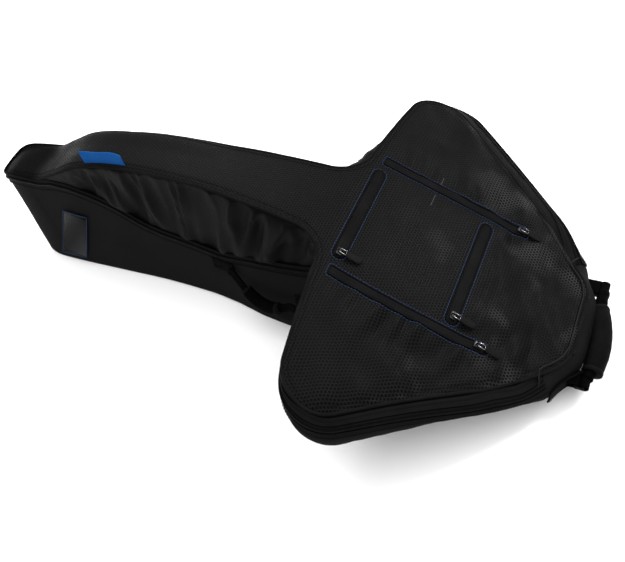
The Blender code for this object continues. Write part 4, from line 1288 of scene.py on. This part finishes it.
def end_handle():
    """Grab handle across the handle end: sewn strip, webbing loops on black rings and a wrapped grip."""
    x, z = END_AXIS.x, END_AXIS.z
    reach = 0.0100
    line = []
    for k in range(31):
        t = k / 30
        bow = 0.0062 * math.sin(math.pi * t)
        line.append(Vector((x + 0.0155 - 0.0105 * t + bow, -0.0490 + 0.1010 * t,
            z + 0.0015 * math.sin(math.pi * t))))
    padded_grip("end_grip", line, 0.0146, 1.0, Vector((0, 0, 1)), "end_handle", "end_handle_grip", slim=0.08)
    seam = [(p + Vector((0.0035, 0, 0.0130 * (1 - 0.08 * (2 * k / 30 - 1) ** 2))), Vector((0.25, 0, 1)))
        for k, p in enumerate(line)]
    thread = stitches("end_grip_seam", [seam], BLACK_THREAD, long=0.0028, gap=0.0010, thick=0.0005)
    attach(thread, "end_handle", "webbing")
    for side, label, y, shift in ((-1, "near", -0.0640, 0.0), (1, "far", 0.0880, -0.0050)):
        bm = bmesh.new()
        inner, outer = x + shift, x + shift + reach
        for a, b in (
            ((inner, y - 0.0125, z), (inner, y + 0.0125, z)),
                ((outer, y - 0.0125, z), (outer, y + 0.0125, z)),
            ((inner, y - 0.0125, z), (outer, y - 0.0125, z)),
                ((inner, y + 0.0125, z), (outer, y + 0.0125, z)),
        ):
            add_bar(bm, a, b, 0.0017, 10)
        ring = new_object(f"end_ring_{label}", bm, [BLACK_METAL])
        attach(ring, "end_handle", "metal", f"end_handle_ring_{label}")
        # the wall's webbing wraps the inner bar
        path, faces = [Vector((x - 0.022, y, z + 0.0046)),
            Vector((x - 0.006, y, z + 0.0046))], [Vector((0, 0, 1))] * 2
        for k in range(13):
            angle = math.radians(110 - 220 * k / 12)
            out = Vector((math.cos(angle), 0, math.sin(angle)))
            path.append(Vector((inner, y, z)) + out * 0.0040)
            faces.append(out)
        path += [Vector((x - 0.006, y, z - 0.0046)), Vector((x - 0.022, y, z - 0.0046))]
        faces += [Vector((0, 0, -1))] * 2
        tab = ribbon(f"end_tab_{label}", path, faces, 0.0210, 0.0019, [HANDLE_WEB])
        attach(tab, "base", "webbing", f"end_handle_tab_{label}")
        # the handle's webbing turns round the outer bar and narrows into the grip
        path, faces = [], []
        for k in range(25):
            angle = math.radians(200 - 400 * k / 24)
            out = Vector((math.cos(angle), 0, math.sin(angle)))
            path.append(Vector((outer, y, z)) + out * (0.0052 + 0.0012 * k / 24))
            faces.append(out)
        loop = ribbon(f"end_strap_loop_{label}", path, faces, 0.0215, 0.0019, [HANDLE_WEB])
        start, finish = Vector((outer + 0.0006, y - side * 0.004, z)), line[0 if side < 0
            else -1] + Vector((0, -side * 0.006, 0))
        path = [start.lerp(finish, k / 8) for k in range(9)]
        sizes = [0.0078 + 0.0012 * k / 8 + 0.0006 * math.sin(k * 1.9) for k in range(9)]
        band = tube(f"end_strap_{label}", path, sizes, 20, [HANDLE_WEB], flat=1.1)
        for piece in (band, loop):
            attach(piece, "end_handle", "webbing")
        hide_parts(f"end_handle_strap_{label}")
    # webbing sewn along the wall, from the near wing to the near ring
    strip = []
    for k in range(17):
        t = k / 16
        y = -0.091 + 0.040 * t
        height = 0.046 - 0.004 * math.sin(math.pi * t)
        edge = Vector((seam_end(abs(y)), y, 0))
        _, index, _ = OUTLINE_TREE.find(edge)
        out = LOOP[index][2]
        strip.append(((edge + out * (swell(edge.x, y, height) + 0.0022 + 0.004 * ease(t, 0.6,
            1.0))) + Vector((0, 0, height)), out))
    piece = ribbon("end_wall_strip", [p for p, _ in strip], [n for _, n in strip], 0.021, 0.0020, [WEBBING])
    attach(piece, "base", "webbing")
    rows = []
    for shift in (-0.0082, 0.0082):
        rows.append([(p + n * 0.0013 + Vector((0, 0, shift)), n) for p, n in strip])
    thread = stitches("end_wall_strip_stitches", rows, BLACK_THREAD, long=0.0024, gap=0.001, thick=0.0004)
    attach(thread, "base", "webbing")


def seam_end(half):
    """x of the seam line's front part where it has this half width."""
    for (x0, w0), (x1, w1) in reversed(list(zip(SEAM, SEAM[1:]))):
        if w1 <= half <= w0 and w0 > w1:
            return x0 + (x1 - x0) * (w0 - half) / (w0 - w1)
    return END_X


def side_handle():
    """Carry handle that hangs on the near side of the neck."""
    along = SIDE_FRONT - SIDE_REAR
    line = []
    for k in range(43):
        t = k / 42
        swing = math.sin(math.pi * t)
        line.append(SIDE_REAR + along * t + Vector((0, -0.010 * swing, -0.024 * swing)))
    up = Vector((0, 0, 1))
    padded_grip("side_grip", line[9:34], 0.0104, 0.9, up, "side_handle", "side_handle_grip", cover=HANDLE_WEB)
    hem = along.normalized() * 0.009
    for label, part in (("rear", [SIDE_REAR - hem] + line[0:12]),
            ("front", line[31:43] + [SIDE_FRONT + hem])):
        band = ribbon(f"side_strap_{label}", part, Vector((0, -1, 0.35)), 0.0115, 0.0030, [HANDLE_WEB])
        attach(band, "side_handle", "webbing", f"side_handle_strap_{label}")
    for label, place, first, last in (("rear", SIDE_REAR, -0.044, -0.002),
            ("front", SIDE_FRONT, 0.002, 0.030)):
        a = Vector((place.x + first, -neck_face(place.x + first, place.z) - 0.0026, place.z))
        b = Vector((place.x + last, -neck_face(place.x + last, place.z) - 0.0026, place.z))
        face = Vector((0, -1, 0.12)).normalized()
        webbing_patch(f"side_patch_{label}", (a + b) / 2, (b - a).normalized(), face, (b - a).length, 0.021,
            [f"side_handle_patch_{label}"])


# ---- sliders and pulls ----


def slider_mesh(name, crosswise=False):
    bm = bmesh.new()
    long, wide = (0.0044, 0.0060) if crosswise else (0.0060, 0.0044)
    add_block(bm, (-long, -wide, -0.0048), (long, wide, -0.0019), bevel=0.0011)
    add_bar(bm, (-0.0030, 0, -0.0022), (-0.0024, 0, 0.0021), 0.0011)
    add_bar(bm, (-0.0026, 0, 0.0021), (0.0026, 0, 0.0021), 0.0011)
    add_bar(bm, (0.0030, 0, -0.0022), (0.0024, 0, 0.0021), 0.0011)
    return new_object(name, bm, [METAL])


def pull_mesh(name):
    """Bright wire ring and a rubber tab that tapers to a rounded end."""
    bm = bmesh.new()
    for a, b in (
        ((0, -0.0026, 0), (0, 0.0026, 0)), ((0, -0.0026, 0), (0.0092, -0.0030, 0)),
        ((0, 0.0026, 0), (0.0092, 0.0030, 0)), ((0.0092, -0.0030, 0), (0.0092, 0.0030, 0)),
    ):
        add_bar(bm, a, b, 0.0007)
    ring = new_object(name + "_ring", bm, [BRIGHT])
    bm = bmesh.new()
    columns = []
    for i in range(17):
        t = i / 16
        x = 0.0088 + 0.0222 * t
        wide = 0.0050 + 0.0005 * math.sin(math.pi * t)
        wide *= math.sqrt(clamp(1 - ((t - 0.86) / 0.14) ** 2)) if t > 0.86 else (0.82 + 0.18 * ease(t, 0.0,
            0.15))
        thick = 0.0011 - 0.0002 * math.exp(-(((t - 0.55) / 0.22) ** 2))
        ring_points = []
        for k in range(16):
            turn = 2 * math.pi * k / 16
            c, s = math.cos(turn), math.sin(turn)
            ring_points.append(Vector((x, max(wide, 0.0008) * math.copysign(abs(c) ** 0.5, c),
                thick * math.copysign(abs(s) ** 0.7, s))))
        columns.append(ring_points)
    tab = grid(name + "_tab", columns, [RUBBER], wrap=True)
    close_ends(tab)
    return ring, tab


def set_in_place(obj, place, tilt, turn=0.0):
    """Moves a mesh modelled about its hinge to its place, so that the object itself stays at the origin."""
    move = Matrix.Translation(place) @ Matrix.Rotation(turn, 4, "Z") @ Matrix.Rotation(tilt, 4, "Y")
    obj.data.transform(move)


def sliders():
    for label, place in PULL_PLACES.items():
        body = slider_mesh(f"slider_{label}", crosswise=label in ("rear", "front"))
        set_in_place(body, place, LID_SLOPE)
        attach(body, f"pocket_slider_{label}", "metal", f"pocket_slider_{label}")
        ring, tab = pull_mesh(f"pull_{label}")
        for piece, slot in ((ring, "metal"), (tab, "rubber")):
            set_in_place(piece, place, LID_SLOPE + PULL_DIP)
            attach(piece, f"pocket_pull_{label}", slot)
        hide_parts(f"pocket_pull_{label}")
    bm = bmesh.new()
    add_block(bm, (-0.0062, -0.0062, -0.0068), (-0.0020, 0.0062, 0.0068), bevel=0.0014)
    add_bar(bm, (-0.0022, 0, 0.0028), (0.0021, 0, 0.0024), 0.0010)
    add_bar(bm, (-0.0022, 0, -0.0028), (0.0021, 0, -0.0024), 0.0010)
    add_bar(bm, (0.0021, 0, -0.0026), (0.0021, 0, 0.0026), 0.0010)
    body = new_object("main_slider_body", bm, [METAL])
    set_in_place(body, MAIN_PLACE, 0, MAIN_TURN)
    attach(body, "main_slider", "metal", "main_slider")
    ring, tab = pull_mesh("main_pull")
    for piece, slot in ((ring, "metal"), (tab, "rubber")):
        set_in_place(piece, MAIN_PLACE, math.radians(90), MAIN_TURN)
        attach(piece, "main_pull", slot)
    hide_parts("main_pull")


# ---- stage ----


def area_light(name, place, target, size, power):
    data = bpy.data.lights.new(name, "AREA")
    data.shape = "RECTANGLE"
    data.size, data.size_y = size
    data.energy = power
    obj = bpy.data.objects.new(name, data)
    obj.location = place
    obj.rotation_euler = (Vector(target) - Vector(place)).to_track_quat("-Z", "Y").to_euler()
    bpy.context.scene.collection.objects.link(obj)


def stage():
    floor_mat = Nodes("studio_floor")
    _, place = floor_mat.places()
    floor_mat.finish(floor_mat.mix(floor_mat.cloud(place, 3.0), (0.93, 0.93, 0.93), (0.95, 0.95, 0.95)), 0.85,
        specular=0.05)
    bm = bmesh.new()
    corners = [bm.verts.new((x, y, -0.0006)) for x, y in ((-9, -9), (9, -9), (9, 9), (-9, 9))]
    bm.faces.new(corners)
    floor = new_object("studio_floor", bm, [floor_mat.mat])
    world = bpy.data.worlds.new("studio")
    world.use_nodes = True
    world.node_tree.nodes["Background"].inputs["Color"].default_value = (1, 1, 1, 1)
    world.node_tree.nodes["Background"].inputs["Strength"].default_value = 0.50
    bpy.context.scene.world = world
    area_light("overhead", (0.1, -0.1, 3.0), (0.1, -0.1, 0.0), (5.2, 5.2), 215)
    area_light("key", (-0.95, 1.30, 1.75), (-0.05, 0, 0.2), (0.7, 0.6), 22)
    area_light("rim", (1.35, 1.20, 1.45), (0.35, 0, 0.1), (0.45, 0.45), 30)
    camera_data = bpy.data.cameras.new("camera")
    camera_data.lens = 40.32
    camera_data.sensor_width = 36.0
    camera = bpy.data.objects.new("camera", camera_data)
    right = Vector((0.889, 0.4067, -0.2102))
    up = Vector((-0.2067, 0.7662, 0.6085))
    back = right.cross(up)
    camera.matrix_world = Matrix.Translation((0.5208, -0.56, 0.891)) @ Matrix((right, up,
        back)).transposed().to_4x4()
    bpy.context.scene.collection.objects.link(camera)
    bpy.context.scene.camera = camera
    bpy.context.scene.view_settings.view_transform = "Standard"


def main():
    stage()
    lid_panel()
    edge_piping()
    gusset()
    main_zip()
    lid_lining()
    label_tab()
    pocket_zips()
    bar_tacks()
    neck_wall()
    walls = wing_walls()
    wing_floors(walls)
    hinge_lining(walls)
    bottom()
    window()
    end_handle()
    side_handle()
    sliders()
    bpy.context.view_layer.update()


main()
